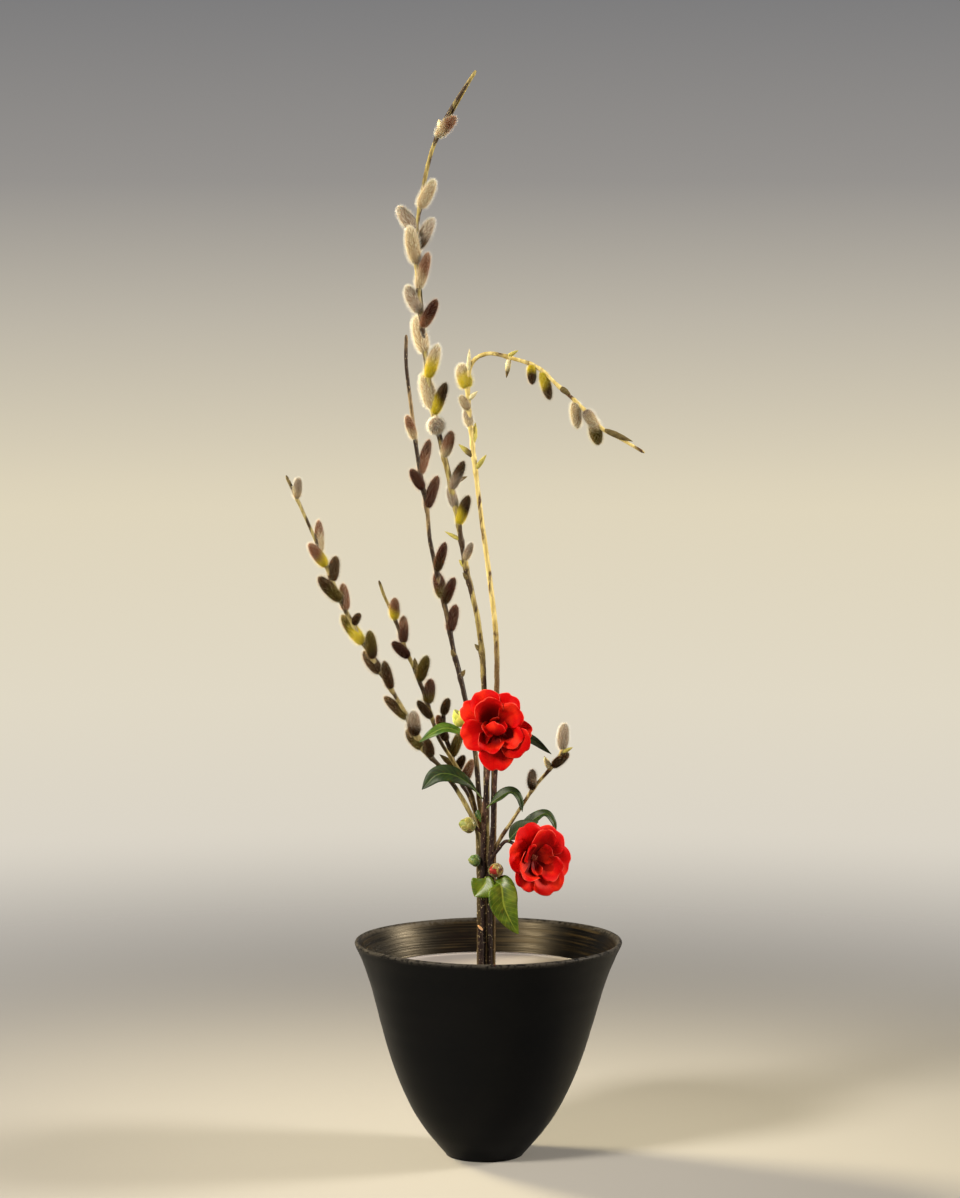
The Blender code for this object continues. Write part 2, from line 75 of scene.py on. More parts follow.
for startup_object in list(bpy.data.objects):
    bpy.data.objects.remove(startup_object, do_unlink=True)
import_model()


# ---------------------------------------------------------------- lines and surfaces
def eased(low: float, high: float, value: float) -> float:
    """A smooth step from 0 at low to 1 at high."""
    share = min(1.0, max(0.0, (value - low) / (high - low)))
    return share * share * (3 - 2 * share)


def turned_to(direction: Vector) -> Matrix:
    """A rotation that takes +Z to direction."""
    return Vector((0, 0, 1)).rotation_difference(direction).to_matrix().to_4x4()


class Route:
    """A smooth line through given points, read by the distance along it."""

    def __init__(self, knots: Sequence[Point], spacing_mm: float = 1.5) -> None:
        """Draws the smooth line.

        Args:
            knots: the points that the line passes through, in millimetres.
            spacing_mm: about how far apart the line is sampled.
        """
        ends = [Vector(knot) for knot in knots]
        ends = [2 * ends[0] - ends[1], *ends, 2 * ends[-1] - ends[-2]]
        points = []
        for a, b, c, d in zip(ends, ends[1:], ends[2:], ends[3:]):
            count = max(1, round((c - b).length / spacing_mm))
            for step in range(count):
                t = step / count
                points.append(0.5 * (2 * b + (c - a) * t + (2 * a - 5 * b + 4 * c - d) * t * t
                                     + (3 * b - a - 3 * c + d) * t ** 3))
        points.append(ends[-2])
        self.points = [point * MM for point in points]
        steps = [(b - a).length for a, b in zip(self.points, self.points[1:])]
        self.marks = np.concatenate([[0.0], np.cumsum(steps)])
        self.length = float(self.marks[-1])

    def at(self, distance: float) -> Vector:
        """Finds a point on the line.

        Args:
            distance: metres along the line.

        Returns:
            The point there, or the nearer end.
        """
        distance = min(max(distance, 0.0), self.length)
        index = min(int(np.searchsorted(self.marks, distance, "right")), len(self.marks) - 1)
        start, end = self.marks[index - 1], self.marks[index]
        return self.points[index - 1].lerp(self.points[index], (distance - start) / (end - start))

    def direction(self, distance: float, reach: float = 0.002) -> Vector:
        """The line's direction at a distance, as a unit vector."""
        return (self.at(distance + reach) - self.at(distance - reach)).normalized()

    def frames(self, rows: int) -> list[tuple[Vector, Vector, Vector]]:
        """Untwisted cross axes along the line.

        Args:
            rows: how many equal stretches the line is divided into.

        Returns:
            For each of the rows + 1 stations its point and two axes across the line.
        """
        across = Vector((1, 0, 0))
        found = []
        for row in range(rows + 1):
            distance = self.length * row / rows
            forward = self.direction(distance)
            across = (across - forward * across.dot(forward)).normalized()
            found.append((self.at(distance), across, forward.cross(across)))
        return found


def unit_sheet(columns: int, rows: int) -> bmesh.types.BMesh:
    """A flat sheet from (0, 0) to (1, 1) with its own coordinates in the layer "surface".

    Args:
        columns: faces along X.
        rows: faces along Y.

    Returns:
        The sheet.
    """
    bm = bmesh.new()
    bm.loops.layers.uv.new("surface")
    bmesh.ops.create_grid(bm, x_segments=columns, y_segments=rows, size=0.5,
                          matrix=Matrix.Translation((0.5, 0.5, 0)), calc_uvs=True)
    return bm


def sheet(columns: int, rows: int, place: Callable[[float, float], Vector]) -> bmesh.types.BMesh:
    """A curved sheet.

    Args:
        columns: faces from side to side.
        rows: faces from foot to tip.
        place: gives the point for shares across and along, each from 0 to 1.

    Returns:
        The sheet, open at its edges.
    """
    bm = unit_sheet(columns, rows)
    for vert in bm.verts:
        vert.co = place(vert.co.x, vert.co.y)
    return bm


def tube(route: Route, radius: Callable[[float, float], float], sides: int,
         step_mm: float) -> bmesh.types.BMesh:
    """A closed tube along a route.

    Args:
        route: its centre line.
        radius: gives the radius in metres for a distance in metres and an angle.
        sides: faces round it.
        step_mm: about how long each of its faces is.

    Returns:
        The tube with both ends filled.
    """
    rows = max(2, round(route.length / MM / step_mm))
    frames = route.frames(rows)
    bm = unit_sheet(sides, rows)
    for vert in bm.verts:
        angle = math.tau * vert.co.x
        centre, side, up = frames[round(vert.co.y * rows)]
        reach = radius(vert.co.y * route.length, angle)
        vert.co = centre + (side * math.cos(angle) + up * math.sin(angle)) * reach
    close_up(bm)
    return bm


def close_up(bm: bmesh.types.BMesh, merge_mm: float = 0.01) -> None:
    """Welds seams and poles, fills open ends and turns the faces outwards.

    Args:
        bm: the mesh, which is changed.
        merge_mm: how near two points are welded.
    """
    bmesh.ops.remove_doubles(bm, verts=bm.verts, dist=merge_mm * MM)
    bmesh.ops.holes_fill(bm, edges=bm.edges, sides=0)
    bmesh.ops.recalc_face_normals(bm, faces=bm.faces)


def turned(profile: Sequence[tuple[float, float]], steps: int) -> bmesh.types.BMesh:
    """A closed solid of revolution about Z.

    Args:
        profile: the section's (radius, height) points in millimetres.
        steps: faces round it.

    Returns:
        The solid.
    """
    bm = bmesh.new()
    verts = [bm.verts.new((radius * MM, 0, height * MM)) for radius, height in profile]
    edges = [bm.edges.new(pair) for pair in zip(verts, verts[1:])]
    bmesh.ops.spin(bm, geom=verts + edges, cent=(0, 0, 0), axis=(0, 0, 1), angle=math.tau,
                   steps=steps, use_merge=True)
    close_up(bm)
    return bm


def new_object(bm: bmesh.types.BMesh, name: str,
               materials: Sequence[bpy.types.Material]) -> bpy.types.Object:
    """Makes a smooth-shaded object of a bmesh, which is freed.

    Args:
        bm: the shape.
        name: the object's and the mesh's name.
        materials: its finishes, in the order of its material indices.

    Returns:
        The new object.
    """
    mesh = bpy.data.meshes.new(name)
    bm.to_mesh(mesh)
    bm.free()
    mesh.shade_smooth()
    for material in materials:
        mesh.materials.append(material)
    made = bpy.data.objects.new(name, mesh)
    bpy.context.scene.collection.objects.link(made)
    return made


def joined(parts: Sequence[bpy.types.Object], name: str) -> bpy.types.Object:
    """Joins objects into the first one and names it.

    Args:
        parts: the objects.
        name: the joined object's name.

    Returns:
        The first object.
    """
    if len(parts) > 1:
        with bpy.context.temp_override(active_object=parts[0], object=parts[0],
                                       selected_objects=list(parts),
                                       selected_editable_objects=list(parts)):
            bpy.ops.object.join()
    parts[0].name = parts[0].data.name = name
    return parts[0]


def seat(piece: bpy.types.Object, slot: str, *nodes: str) -> bpy.types.Object:
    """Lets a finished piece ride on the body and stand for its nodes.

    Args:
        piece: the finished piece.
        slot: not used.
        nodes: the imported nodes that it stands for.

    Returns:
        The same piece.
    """
    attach(piece, BODY)
    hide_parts(*nodes)
    log.info("%s: %d faces", piece.name, len(piece.data.polygons))
    return piece


def add_thickness(piece: bpy.types.Object, thickness_mm: float, underside: bool = False) -> None:
    """Gives a sheet its thickness about its middle.

    Args:
        piece: the sheet.
        thickness_mm: how thick it gets.
        underside: whether its lower face wears the second material.
    """
    solid = piece.modifiers.new("thickness", "SOLIDIFY")
    solid.thickness = thickness_mm * MM
    solid.offset = 0
    if underside:
        solid.material_offset = 1


# ---------------------------------------------------------------- finishes
class Recipe:
    """A material's nodes, with a short call for each kind that the finishes use."""

    def __init__(self, name: str, roughness: float = 0.5, **sockets: object) -> None:
        """Starts from one shader.

        Args:
            name: the material's name.
            roughness: the shader's own roughness.
            sockets: uniform values for the shader's other sockets, with _ for a space.
        """
        self.material = bpy.data.materials.new(name)
        self.material.use_nodes = True
        self.tree = self.material.node_tree
        self.shader = self.tree.nodes["Principled BSDF"]
        self.shader.inputs["Roughness"].default_value = roughness
        for socket, value in sockets.items():
            self.shader.inputs[socket.replace("_", " ")].default_value = value

    def node(self, kind: str, inputs: dict[str | int, object], **options: object) -> bpy.types.Node:
        """Adds a node.

        Args:
            kind: the node's type.
            inputs: by name or number, the value or the socket that feeds each input.
            options: the node's own settings.

        Returns:
            The node.
        """
        made = self.tree.nodes.new(kind)
        for option, value in options.items():
            setattr(made, option, value)
        for socket, value in inputs.items():
            if isinstance(value, bpy.types.NodeSocket):
                self.tree.links.new(value, made.inputs[socket])
            else:
                made.inputs[socket].default_value = value
        return made

    def place(self, scale: Point = (1, 1, 1), surface: bool = False) -> bpy.types.NodeSocket:
        """Stretched coordinates.

        Args:
            scale: how much the pattern is squeezed along X, Y and Z.
            surface: whether they follow the surface and not the object.

        Returns:
            The coordinates.
        """
        source = self.node("ShaderNodeUVMap", {}, uv_map="surface").outputs[0] if surface \
            else self.node("ShaderNodeTexCoord", {}).outputs["Object"]
        return self.node("ShaderNodeMapping", {"Vector": source, "Scale": scale}).outputs[0]

    def attribute(self, name: str) -> bpy.types.Node:
        """A named attribute of the mesh."""
        return self.node("ShaderNodeAttribute", {}, attribute_name=name)

    def noise(self, place: bpy.types.NodeSocket, scale: float, detail: float = 3.0,
              distortion: float = 0.0) -> bpy.types.NodeSocket:
        """Soft noise from 0 to 1."""
        return self.node("ShaderNodeTexNoise", {"Vector": place, "Scale": scale,
                                                "Detail": detail,
                                                "Distortion": distortion}).outputs[0]

    def blend(self, factor: object, first: object, second: object) -> bpy.types.NodeSocket:
        """Blends two colours.

        Args:
            factor: 0 for the first and 1 for the second.
            first: a colour or a socket.
            second: a colour or a socket.

        Returns:
            The blended colour.
        """
        pair = [value if isinstance(value, bpy.types.NodeSocket) else (*value, 1)
                for value in (first, second)]
        made = self.node("ShaderNodeMix", {0: factor, 6: pair[0], 7: pair[1]},
                         data_type="RGBA")
        return made.outputs[2]

    def maths(self, operation: str, first: object, second: object = 0.0) -> bpy.types.NodeSocket:
        """One sum on two values."""
        return self.node("ShaderNodeMath", {0: first, 1: second}, operation=operation).outputs[0]

    def within(self, value: bpy.types.NodeSocket, low: float, high: float) -> bpy.types.NodeSocket:
        """A smooth step of a value, from 0 at low to 1 at high."""
        return self.node("ShaderNodeMapRange", {"Value": value, "From Min": low,
                                                "From Max": high},
                         interpolation_type="SMOOTHSTEP").outputs[0]

    def split(self, vector: bpy.types.NodeSocket) -> bpy.types.NodeOutputs:
        """The X, Y and Z of a vector."""
        return self.node("ShaderNodeSeparateXYZ", {"Vector": vector}).outputs

    def bump(self, height: bpy.types.NodeSocket, strength: float, depth_mm: float) -> None:
        """Adds relief on top of the relief that is there.

        Args:
            height: the relief.
            strength: how strongly it shows; under 0 it is sunk.
            depth_mm: how deep it is.
        """
        made = self.node("ShaderNodeBump", {"Height": height, "Strength": strength,
                                            "Distance": depth_mm * MM})
        link = self.shader.inputs["Normal"].links
        if link:
            self.tree.links.new(link[0].from_socket, made.inputs["Normal"])
        self.use("Normal", made.outputs[0])

    def use(self, socket: str, value: bpy.types.NodeSocket) -> None:
        """Feeds a socket of the shader."""
        self.tree.links.new(value, self.shader.inputs[socket])


@dataclass(frozen=True)
class VaseGlaze:
    """Near-black satin glaze, worn paler along the lip, with throwing streaks where asked, whose
    golden colour inside is painted reflection.
    """

    name: str
    body: Colour
    mottle: Colour
    streak_and_reflection: Colour
    roughness: tuple[float, float]      # where it is smoothest and where it is roughest
    gloss: float
    gloss_tint: Colour = (1, 1, 1)
    streaked: float = 0.0
    lip: Colour = (0.060, 0.053, 0.045)

    @cache
    def material(self) -> bpy.types.Material:
        """Builds the glaze once.

        Returns:
            The material, the same one at every call.
        """
        recipe = Recipe(self.name, Specular_IOR_Level=self.gloss)
        recipe.shader.inputs["Specular Tint"].default_value = (*self.gloss_tint, 1)
        broad = recipe.noise(recipe.place(), 14, 4)
        fine = recipe.noise(recipe.place(), 320, 3)
        brushed = recipe.noise(recipe.place((9, 9, 560)), 1.0, 4, 0.3)
        patches = recipe.noise(recipe.place((22, 22, 55)), 1.0, 3)
        skin = recipe.blend(recipe.within(broad, 0.35, 0.75), self.body, self.mottle)
        # The streaks follow the throwing marks; on the inside their golden colour is painted
        # reflection of the warm light.
        streaks = recipe.maths("MULTIPLY", recipe.within(brushed, 0.42, 0.72),
                               recipe.within(patches, 0.35, 0.65))
        skin = recipe.blend(recipe.maths("MULTIPLY", streaks, self.streaked), skin, self.streak_and_reflection)
        wear = recipe.attribute("wear").outputs["Fac"]
        chipped = recipe.maths("MULTIPLY", wear, recipe.within(fine, 0.3, 0.6))
        recipe.use("Base Color", recipe.blend(chipped, skin, self.lip))
        low, high = self.roughness
        grain = brushed if self.streaked else broad
        mixed = recipe.node("ShaderNodeMapRange", {"Value": grain, "From Min": 0.25,
                                                   "From Max": 0.75, "To Min": low,
                                                   "To Max": high})
        recipe.use("Roughness", mixed.outputs[0])
        recipe.bump(fine, 0.25, 0.15)
        if self.streaked:
            recipe.bump(brushed, 0.7, 0.5)
        return recipe.material


@dataclass(frozen=True)
class StillWater:
    """Clear water, painted pale at low angles as a painted reflection of the pale surroundings."""

    # painted reflection: the pale colour that the water shows at low angles
    painted_reflection_colour: Colour = (0.88, 0.80, 0.77)

    @cache
    def material(self) -> bpy.types.Material:
        """Builds the water once.

        Returns:
            The material, the same one at every call.
        """
        recipe = Recipe("still_water", roughness=0.06, IOR=1.45, Coat_Weight=1.0, Coat_IOR=1.7,
                        Coat_Roughness=0.02)
        recipe.shader.inputs["Base Color"].default_value = (*self.painted_reflection_colour, 1)
        # Painted reflection: at low angles the pale base colour takes the place of transmission, for
        # the pale surroundings reflected in the water.
        facing = recipe.node("ShaderNodeLayerWeight", {}).outputs["Facing"]
        pale = recipe.maths("MULTIPLY", recipe.within(facing, 0.30, 0.74), 0.82)
        recipe.use("Transmission Weight", recipe.maths("SUBTRACT", 1.0, pale))
        recipe.bump(recipe.noise(recipe.place(), 60, 2), 0.12, 0.4)
        return recipe.material


@dataclass(frozen=True)
class Metal:
    """A dull cast metal."""

    name: str
    colour: Colour
    tarnish: Colour
    roughness: float

    @cache
    def material(self) -> bpy.types.Material:
        """Builds the metal once.

        Returns:
            The material, the same one at every call.
        """
        recipe = Recipe(self.name, roughness=self.roughness, Metallic=0.85)
        grain = recipe.noise(recipe.place(), 400, 4)
        recipe.use("Base Color", recipe.blend(recipe.within(grain, 0.35, 0.7),
                                              self.colour, self.tarnish))
        recipe.bump(grain, 0.4, 0.2)
        return recipe.material


@dataclass(frozen=True)
class Bark:
    """Bark with lengthwise streaks, darker patches, small pale pores and painted shade all round
    below a set height.
    """

    name: str
    light: Colour
    middle: Colour
    dark: Colour
    darkness: float = 0.5       # share of the bark that is dark
    roughness: float = 0.5
    painted_shade_below: float = 0.27    # height in metres under which it is painted dark all round, as shade under the leaves and blooms

    @cache
    def material(self) -> bpy.types.Material:
        """Builds the bark once.

        Returns:
            The material, the same one at every call.
        """
        recipe = Recipe(self.name, roughness=self.roughness, Specular_IOR_Level=0.18)
        streaks = recipe.noise(recipe.place((420, 420, 55)), 1.0, 3, 0.5)
        patches = recipe.noise(recipe.place((90, 90, 40)), 1.0, 4, 0.6)
        pores = recipe.noise(recipe.place((900, 900, 500)), 1.0, 1)
        skin = recipe.blend(recipe.within(streaks, 0.3, 0.7), self.light, self.middle)
        edge = 0.72 - 0.44 * self.darkness
        skin = recipe.blend(recipe.within(patches, edge - 0.06, edge + 0.08), skin, self.dark)
        # Painted shade: below a set height the bark is darkened all round, for the shade under the
        # leaves and blooms.
        height = recipe.split(recipe.place())[2]
        shaded = recipe.within(height, self.painted_shade_below + 0.05, self.painted_shade_below - 0.01)
        skin = recipe.blend(recipe.maths("MULTIPLY", shaded, 0.9), skin, self.dark)
        recipe.use("Base Color", recipe.blend(recipe.within(pores, 0.66, 0.72), skin,
                                              (0.42, 0.33, 0.18)))
        recipe.bump(streaks, 0.5, 0.3)
        recipe.bump(patches, 0.4, 0.3)
        return recipe.material


@dataclass(frozen=True)
class CatkinCoat:
    """Silky hair, coloured along each hair by the attribute "coat"."""

    @cache
    def material(self) -> bpy.types.Material:
        """Builds the coat once.

        Returns:
            The material, the same one at every call.
        """
        recipe = Recipe("catkin_coat", roughness=0.7, Specular_IOR_Level=0.04,
                        Subsurface_Weight=0.08, Subsurface_Scale=0.002)
        coat = recipe.attribute("coat").outputs["Color"]
        fleck = recipe.noise(recipe.place((1, 1, 1)), 900, 2)
        recipe.use("Base Color", recipe.blend(recipe.within(fleck, 0.35, 0.7), coat,
                                              recipe.blend(0.28, coat, (0.02, 0.01, 0.01))))
        return recipe.material


@dataclass(frozen=True)
class LeafSkin:
    """Glossy leaf: a pale midrib, slanting side veins and mottled green."""

    name: str
    deep: Colour
    bright: Colour
    vein: Colour
    gloss: float = 0.27
    yellowing: float = 0.4

    @cache
    def material(self) -> bpy.types.Material:
        """Builds the skin once.

        Returns:
            The material, the same one at every call.
        """
        recipe = Recipe(self.name, roughness=self.gloss, Specular_IOR_Level=0.35,
                        Subsurface_Weight=0.08, Subsurface_Scale=0.002)
        across, along, _ = recipe.split(recipe.place(surface=True))
        side = recipe.maths("SUBTRACT", recipe.maths("MULTIPLY", across, 2.0), 1.0)
        off_rib = recipe.maths("ABSOLUTE", side)
        rows = recipe.maths("SUBTRACT", recipe.maths("MULTIPLY", along, VEIN_ROWS),
                            recipe.maths("MULTIPLY", off_rib, VEIN_SLANT))
        beat = recipe.maths("ABSOLUTE", recipe.maths("SUBTRACT", recipe.maths("FRACT", rows), 0.5))
        side_vein = recipe.maths("SUBTRACT", 1.0, recipe.within(beat, 0.02, 0.1))
        rib = recipe.maths("SUBTRACT", 1.0, recipe.within(off_rib, 0.02, 0.09))
        mottle = recipe.noise(recipe.place(), 130, 4, 0.4)
        broad = recipe.noise(recipe.place(), 38, 2)
        green = recipe.blend(recipe.within(mottle, 0.3, 0.75), self.deep, self.bright)
        green = recipe.blend(recipe.maths("MULTIPLY", recipe.within(broad, 0.45, 0.7),
                                          self.yellowing), green, self.vein)
        green = recipe.blend(recipe.maths("MULTIPLY", side_vein, 0.32), green, self.vein)
        recipe.use("Base Color", recipe.blend(recipe.maths("MULTIPLY", rib, 0.75), green,
                                              self.vein))
        recipe.bump(side_vein, -0.35, 0.3)
        recipe.bump(mottle, 0.15, 0.2)
        return recipe.material


@dataclass(frozen=True)
class ScaleSkin:
    """Bud scale: silky green to brown, lighter towards its edge."""

    name: str
    base: Colour
    edge: Colour
    stain: Colour
    stained: float = 0.3

    @cache
    def material(self) -> bpy.types.Material:
        """Builds the skin once.

        Returns:
            The material, the same one at every call.
        """
        recipe = Recipe(self.name, roughness=0.42, Sheen_Weight=0.2, Subsurface_Weight=0.1,
                        Subsurface_Scale=0.002)
        across, along, _ = recipe.split(recipe.place(surface=True))
        streaks = recipe.noise(recipe.place((30, 3, 1), surface=True), 1.0, 3)
        stains = recipe.noise(recipe.place(), 210, 3)
        skin = recipe.blend(recipe.within(along, 0.35, 1.0), self.base, self.edge)
        skin = recipe.blend(recipe.maths("MULTIPLY", streaks, 0.35), skin, self.stain)
        low = 0.78 - 0.5 * self.stained
        recipe.use("Base Color", recipe.blend(recipe.within(stains, low, low + 0.18), skin,
                                              self.stain))
        recipe.bump(streaks, 0.3, 0.2)
        return recipe.material


@dataclass(frozen=True)
class PetalSkin:
    """Red petal: deeper at its foot, partly its own colour and partly painted shade; fine veins;
    orange patches of painted highlight; and a paler rim of painted highlight.
    """

    heart: Colour = (0.15, 0.0003, 0.0004)
    body: Colour = (0.60, 0.0010, 0.0012)
    lit: Colour = (0.88, 0.030, 0.008)
    rim: Colour = (0.95, 0.12, 0.08)
    name: str = "petal_skin"
    deepest: float = 0.12       # share of the length up to which it is as deep as its foot
    clear: float = 0.80         # share from which it has its full colour

    @cache
    def material(self) -> bpy.types.Material:
        """Builds the skin once.

        Returns:
            The material, the same one at every call.
        """
        recipe = Recipe(self.name, roughness=0.55, Specular_IOR_Level=0.08,
                        Subsurface_Weight=0.08, Subsurface_Scale=0.002)
        recipe.shader.inputs["Subsurface Radius"].default_value = (1.0, 0.12, 0.06)
        across, along, _ = recipe.split(recipe.place(surface=True))
        side = recipe.maths("ABSOLUTE", recipe.maths("SUBTRACT", across, 0.5))
        veins = recipe.noise(recipe.place((46, 2.2, 1), surface=True), 1.0, 4, 0.3)
        highlight_patches = recipe.noise(recipe.place(), 55, 2)
        # Painted highlight: orange patches scattered by noise stand for where light catches the
        # petals.
        red = recipe.blend(recipe.maths("MULTIPLY", recipe.within(highlight_patches, 0.46, 0.66), 0.8),
                           self.body, self.lit)
        # Partly painted shade: the deeper red towards the foot is partly the petal's own colour and
        # partly the shade of the bloom's hollow centre.
        red = recipe.blend(recipe.within(along, self.deepest, self.clear), self.heart, red)
        red = recipe.blend(recipe.maths("MULTIPLY", recipe.within(veins, 0.5, 0.75), 0.3), red,
                           self.heart)
        # Painted highlight: the paler rim along the tip and sides stands for light caught by the
        # thick petal edges.
        edge = recipe.maths("MAXIMUM", recipe.within(along, 0.955, 1.0),
                            recipe.within(side, 0.475, 0.5))
        broken = recipe.within(recipe.noise(recipe.place(), 110, 2), 0.40, 0.62)
        edge = recipe.maths("MULTIPLY", edge, recipe.maths("MULTIPLY", broken, 0.7))
        recipe.use("Base Color", recipe.blend(edge, red, self.rim))
        recipe.bump(veins, 0.3, 0.25)
        return recipe.material


@dataclass(frozen=True)
class Plain:
    """A matte finish with slight mottling, for pollen, filaments and cut wood."""

    name: str
    colour: Colour
    mottle: Colour
    grain: float = 600.0

    @cache
    def material(self) -> bpy.types.Material:
        """Builds the finish once.

        Returns:
            The material, the same one at every call.
        """
        recipe = Recipe(self.name, roughness=0.6)
        fine = recipe.noise(recipe.place(), self.grain, 3)
        recipe.use("Base Color", recipe.blend(recipe.within(fine, 0.3, 0.7), self.colour,
                                              self.mottle))
        recipe.bump(fine, 0.3, 0.2)
        return recipe.material


# ---------------------------------------------------------------- vase, water and pin holder
@dataclass
class Vase:
    """The turned vase: flared, thin-walled and a little uneven, as thrown by hand."""

    rim_radius_mm: float = 117.5
    foot_radius_mm: float = 34.5
    height_mm: float = 190.0
    wall_mm: float = 5.0
    floor_mm: float = 10.0
    steps: int = 168
    lean_mm: float = 1.7           # how far the rim sits to the right and the foot to the left
    ring_depth_mm: float = 0.2     # throwing rings inside
    ring_pitch_mm: float = 5.2
    lip_wave_mm: float = 0.35

    def outline(self) -> Route:
        """Draws the outer wall.

        Returns:
            A line in the XZ plane from the foot to under the lip.
        """
        points = [(self.foot_radius_mm, 1.2), (42, 10), (53, 23.5), (65, 42), (76, 65), (85, 89),
                  (92.5, 114), (99, 138), (105, 158), (111, 174),
                  (self.rim_radius_mm - 0.5, self.height_mm - 3)]
        return Route([(radius, 0, height) for radius, height in points], 2.5)

    def profile(self) -> list[tuple[float, float]]:
        """Draws the whole section.

        Returns:
            Its (radius, height) points in millimetres, from the middle of the floor up, over
            the lip and back down.
        """
        outer = [(point.x / MM, point.z / MM) for point in self.outline().points]
        inner = []
        for radius, height in outer:
            if height > self.floor_mm + 13:
                phase = math.tau * height / self.ring_pitch_mm
                ring = self.ring_depth_mm * (math.sin(phase) + 0.5 * math.sin(2.3 * phase + 1))
                inner.append((radius - self.wall_mm + ring, height))
        top, rim = self.height_mm, self.rim_radius_mm
        lip = [(rim - 4.7, top - 1.6), (rim - 4.1, top - 0.5), (rim - 3.0, top + 0.1),
               (rim - 1.7, top + 0.1), (rim - 0.6, top - 0.5), (rim - 0.1, top - 1.6)]
        foot = [(self.foot_radius_mm - 0.5, 0.3), (self.foot_radius_mm - 1.4, 0),
                (self.foot_radius_mm - 6, 0), (self.foot_radius_mm - 7.5, 1.2), (0, 1.4)]
        floor = [(0, self.floor_mm), (26, self.floor_mm), (34, self.floor_mm + 1.5),
                 (41, self.floor_mm + 7)]
        return [*floor, *inner, *lip, *reversed(outer), *foot]

    def shape(self, bm: bmesh.types.BMesh) -> None:
        """Makes the turned form a little uneven and marks its inside and its worn lip.

        Args:
            bm: the turned form, which is changed.
        """
        wear = bm.verts.layers.float.new("wear")
        outline = self.outline()
        heights = [point.z for point in outline.points]
        radii = [point.x for point in outline.points]
        for vert in bm.verts:
            radius, height = vert.co.xy.length, vert.co.z
            angle = math.atan2(vert.co.y, vert.co.x)
            depth = float(np.interp(height, heights, radii)) - radius
            share = height / (self.height_mm * MM)
            vert.tag = depth > 2.4 * MM and share > 0.05
            ragged = noise.noise(Vector((3 * math.cos(angle), 3 * math.sin(angle), share * 9)))
            vert[wear] = eased(0.978, 0.997, share + 0.006 * ragged)
            wave = math.sin(2 * angle + 0.6) + 0.5 * math.sin(5 * angle)
            vert.co.z += self.lip_wave_mm * MM * wave * eased(0.75, 1, share)
            vert.co.x += self.lean_mm * MM * (2 * share - 1)
            if depth < 2.5 * MM:
                ripple = noise.noise(Vector((angle * 0.7, 0, share * 16)))
                vert.co.xy *= 1 - 0.0022 * eased(0.05, 0.3, share) * (1 + ripple)
        for face in bm.faces:
            face.material_index = int(all(vert.tag for vert in face.verts))

    def build(self) -> bpy.types.Object:
        """Turns, shapes and dresses the vase.

        Returns:
            The finished piece.
        """
        bm = turned(self.profile(), self.steps)
        self.shape(bm)
        outside = VaseGlaze("glaze_outside", (0.0018, 0.0022, 0.0030), (0.0032, 0.0033, 0.0038),
                            (0.01, 0.01, 0.01), (0.36, 0.50), 0.07)
        # Painted reflection: the inside's golden streak colour stands for warm light reflected along
        # the throwing marks.
        inside = VaseGlaze("glaze_inside", (0.0035, 0.0034, 0.0036), (0.009, 0.0065, 0.004),
                           (0.045, 0.030, 0.012), (0.24, 0.50), 0.24, (1.0, 0.80, 0.50), 1.0)
        vase = new_object(bm, "turned_vase", [outside.material(), inside.material()])
        return seat(vase, "vase", "vase")


@dataclass
class Water:
    """The water: a still surface that climbs a little at the wall and at each stem."""

    level_mm: float = 160.0
    climb_mm: float = 1.1
    climb_reach_mm: float = 1.6
    steps: int = 120

    def build(self, vase: Vase, stems: Sequence[tuple[Route, float]]) -> bpy.types.Object:
        """Turns the water to the vase's inside and lifts it round the stems.

        Args:
            vase: whose wall holds the water.
            stems: each stem's line and its radius in millimetres.

        Returns:
            The finished piece.
        """
        heights = [point.z / MM for point in vase.outline().points]
        radii = [point.x / MM - vase.wall_mm - 0.35 for point in vase.outline().points]
        edge = float(np.interp(self.level_mm, heights, radii))
        top = [(radius, self.level_mm) for radius in np.linspace(0, 34, 24)]
        top += [(radius, self.level_mm) for radius in np.linspace(37, edge - 6, 16)]
        top += [(edge - reach, self.level_mm + self.climb_mm * math.exp(-reach / 1.4))
                for reach in (4, 2.8, 2, 1.3, 0.8, 0.4, 0)]
        side = [(float(np.interp(height, heights, radii)), height)
                for height in np.linspace(self.level_mm - 2, 24, 12)]
        bm = turned([*top, *side, (0, 24)], self.steps)
        crossings = []
        for route, radius in stems:
            marks = [abs(point.z - self.level_mm * MM) for point in route.points]
            crossings.append((route.points[int(np.argmin(marks))], radius * MM))
        for vert in bm.verts:
            share = vert.co.z / (self.level_mm * MM)
            if share > 0.999 and vert.co.xy.length < 0.04:
                near = min((vert.co.xy - spot.xy).length - radius for spot, radius in crossings)
                vert.co.z += self.climb_mm * MM * math.exp(-max(0, near) / MM / self.climb_reach_mm)
            vert.co.x += vase.lean_mm * MM * (2 * vert.co.z / (vase.height_mm * MM) - 1)
        water = new_object(bm, "still_water", [StillWater().material()])
        return seat(water, "water", "water")


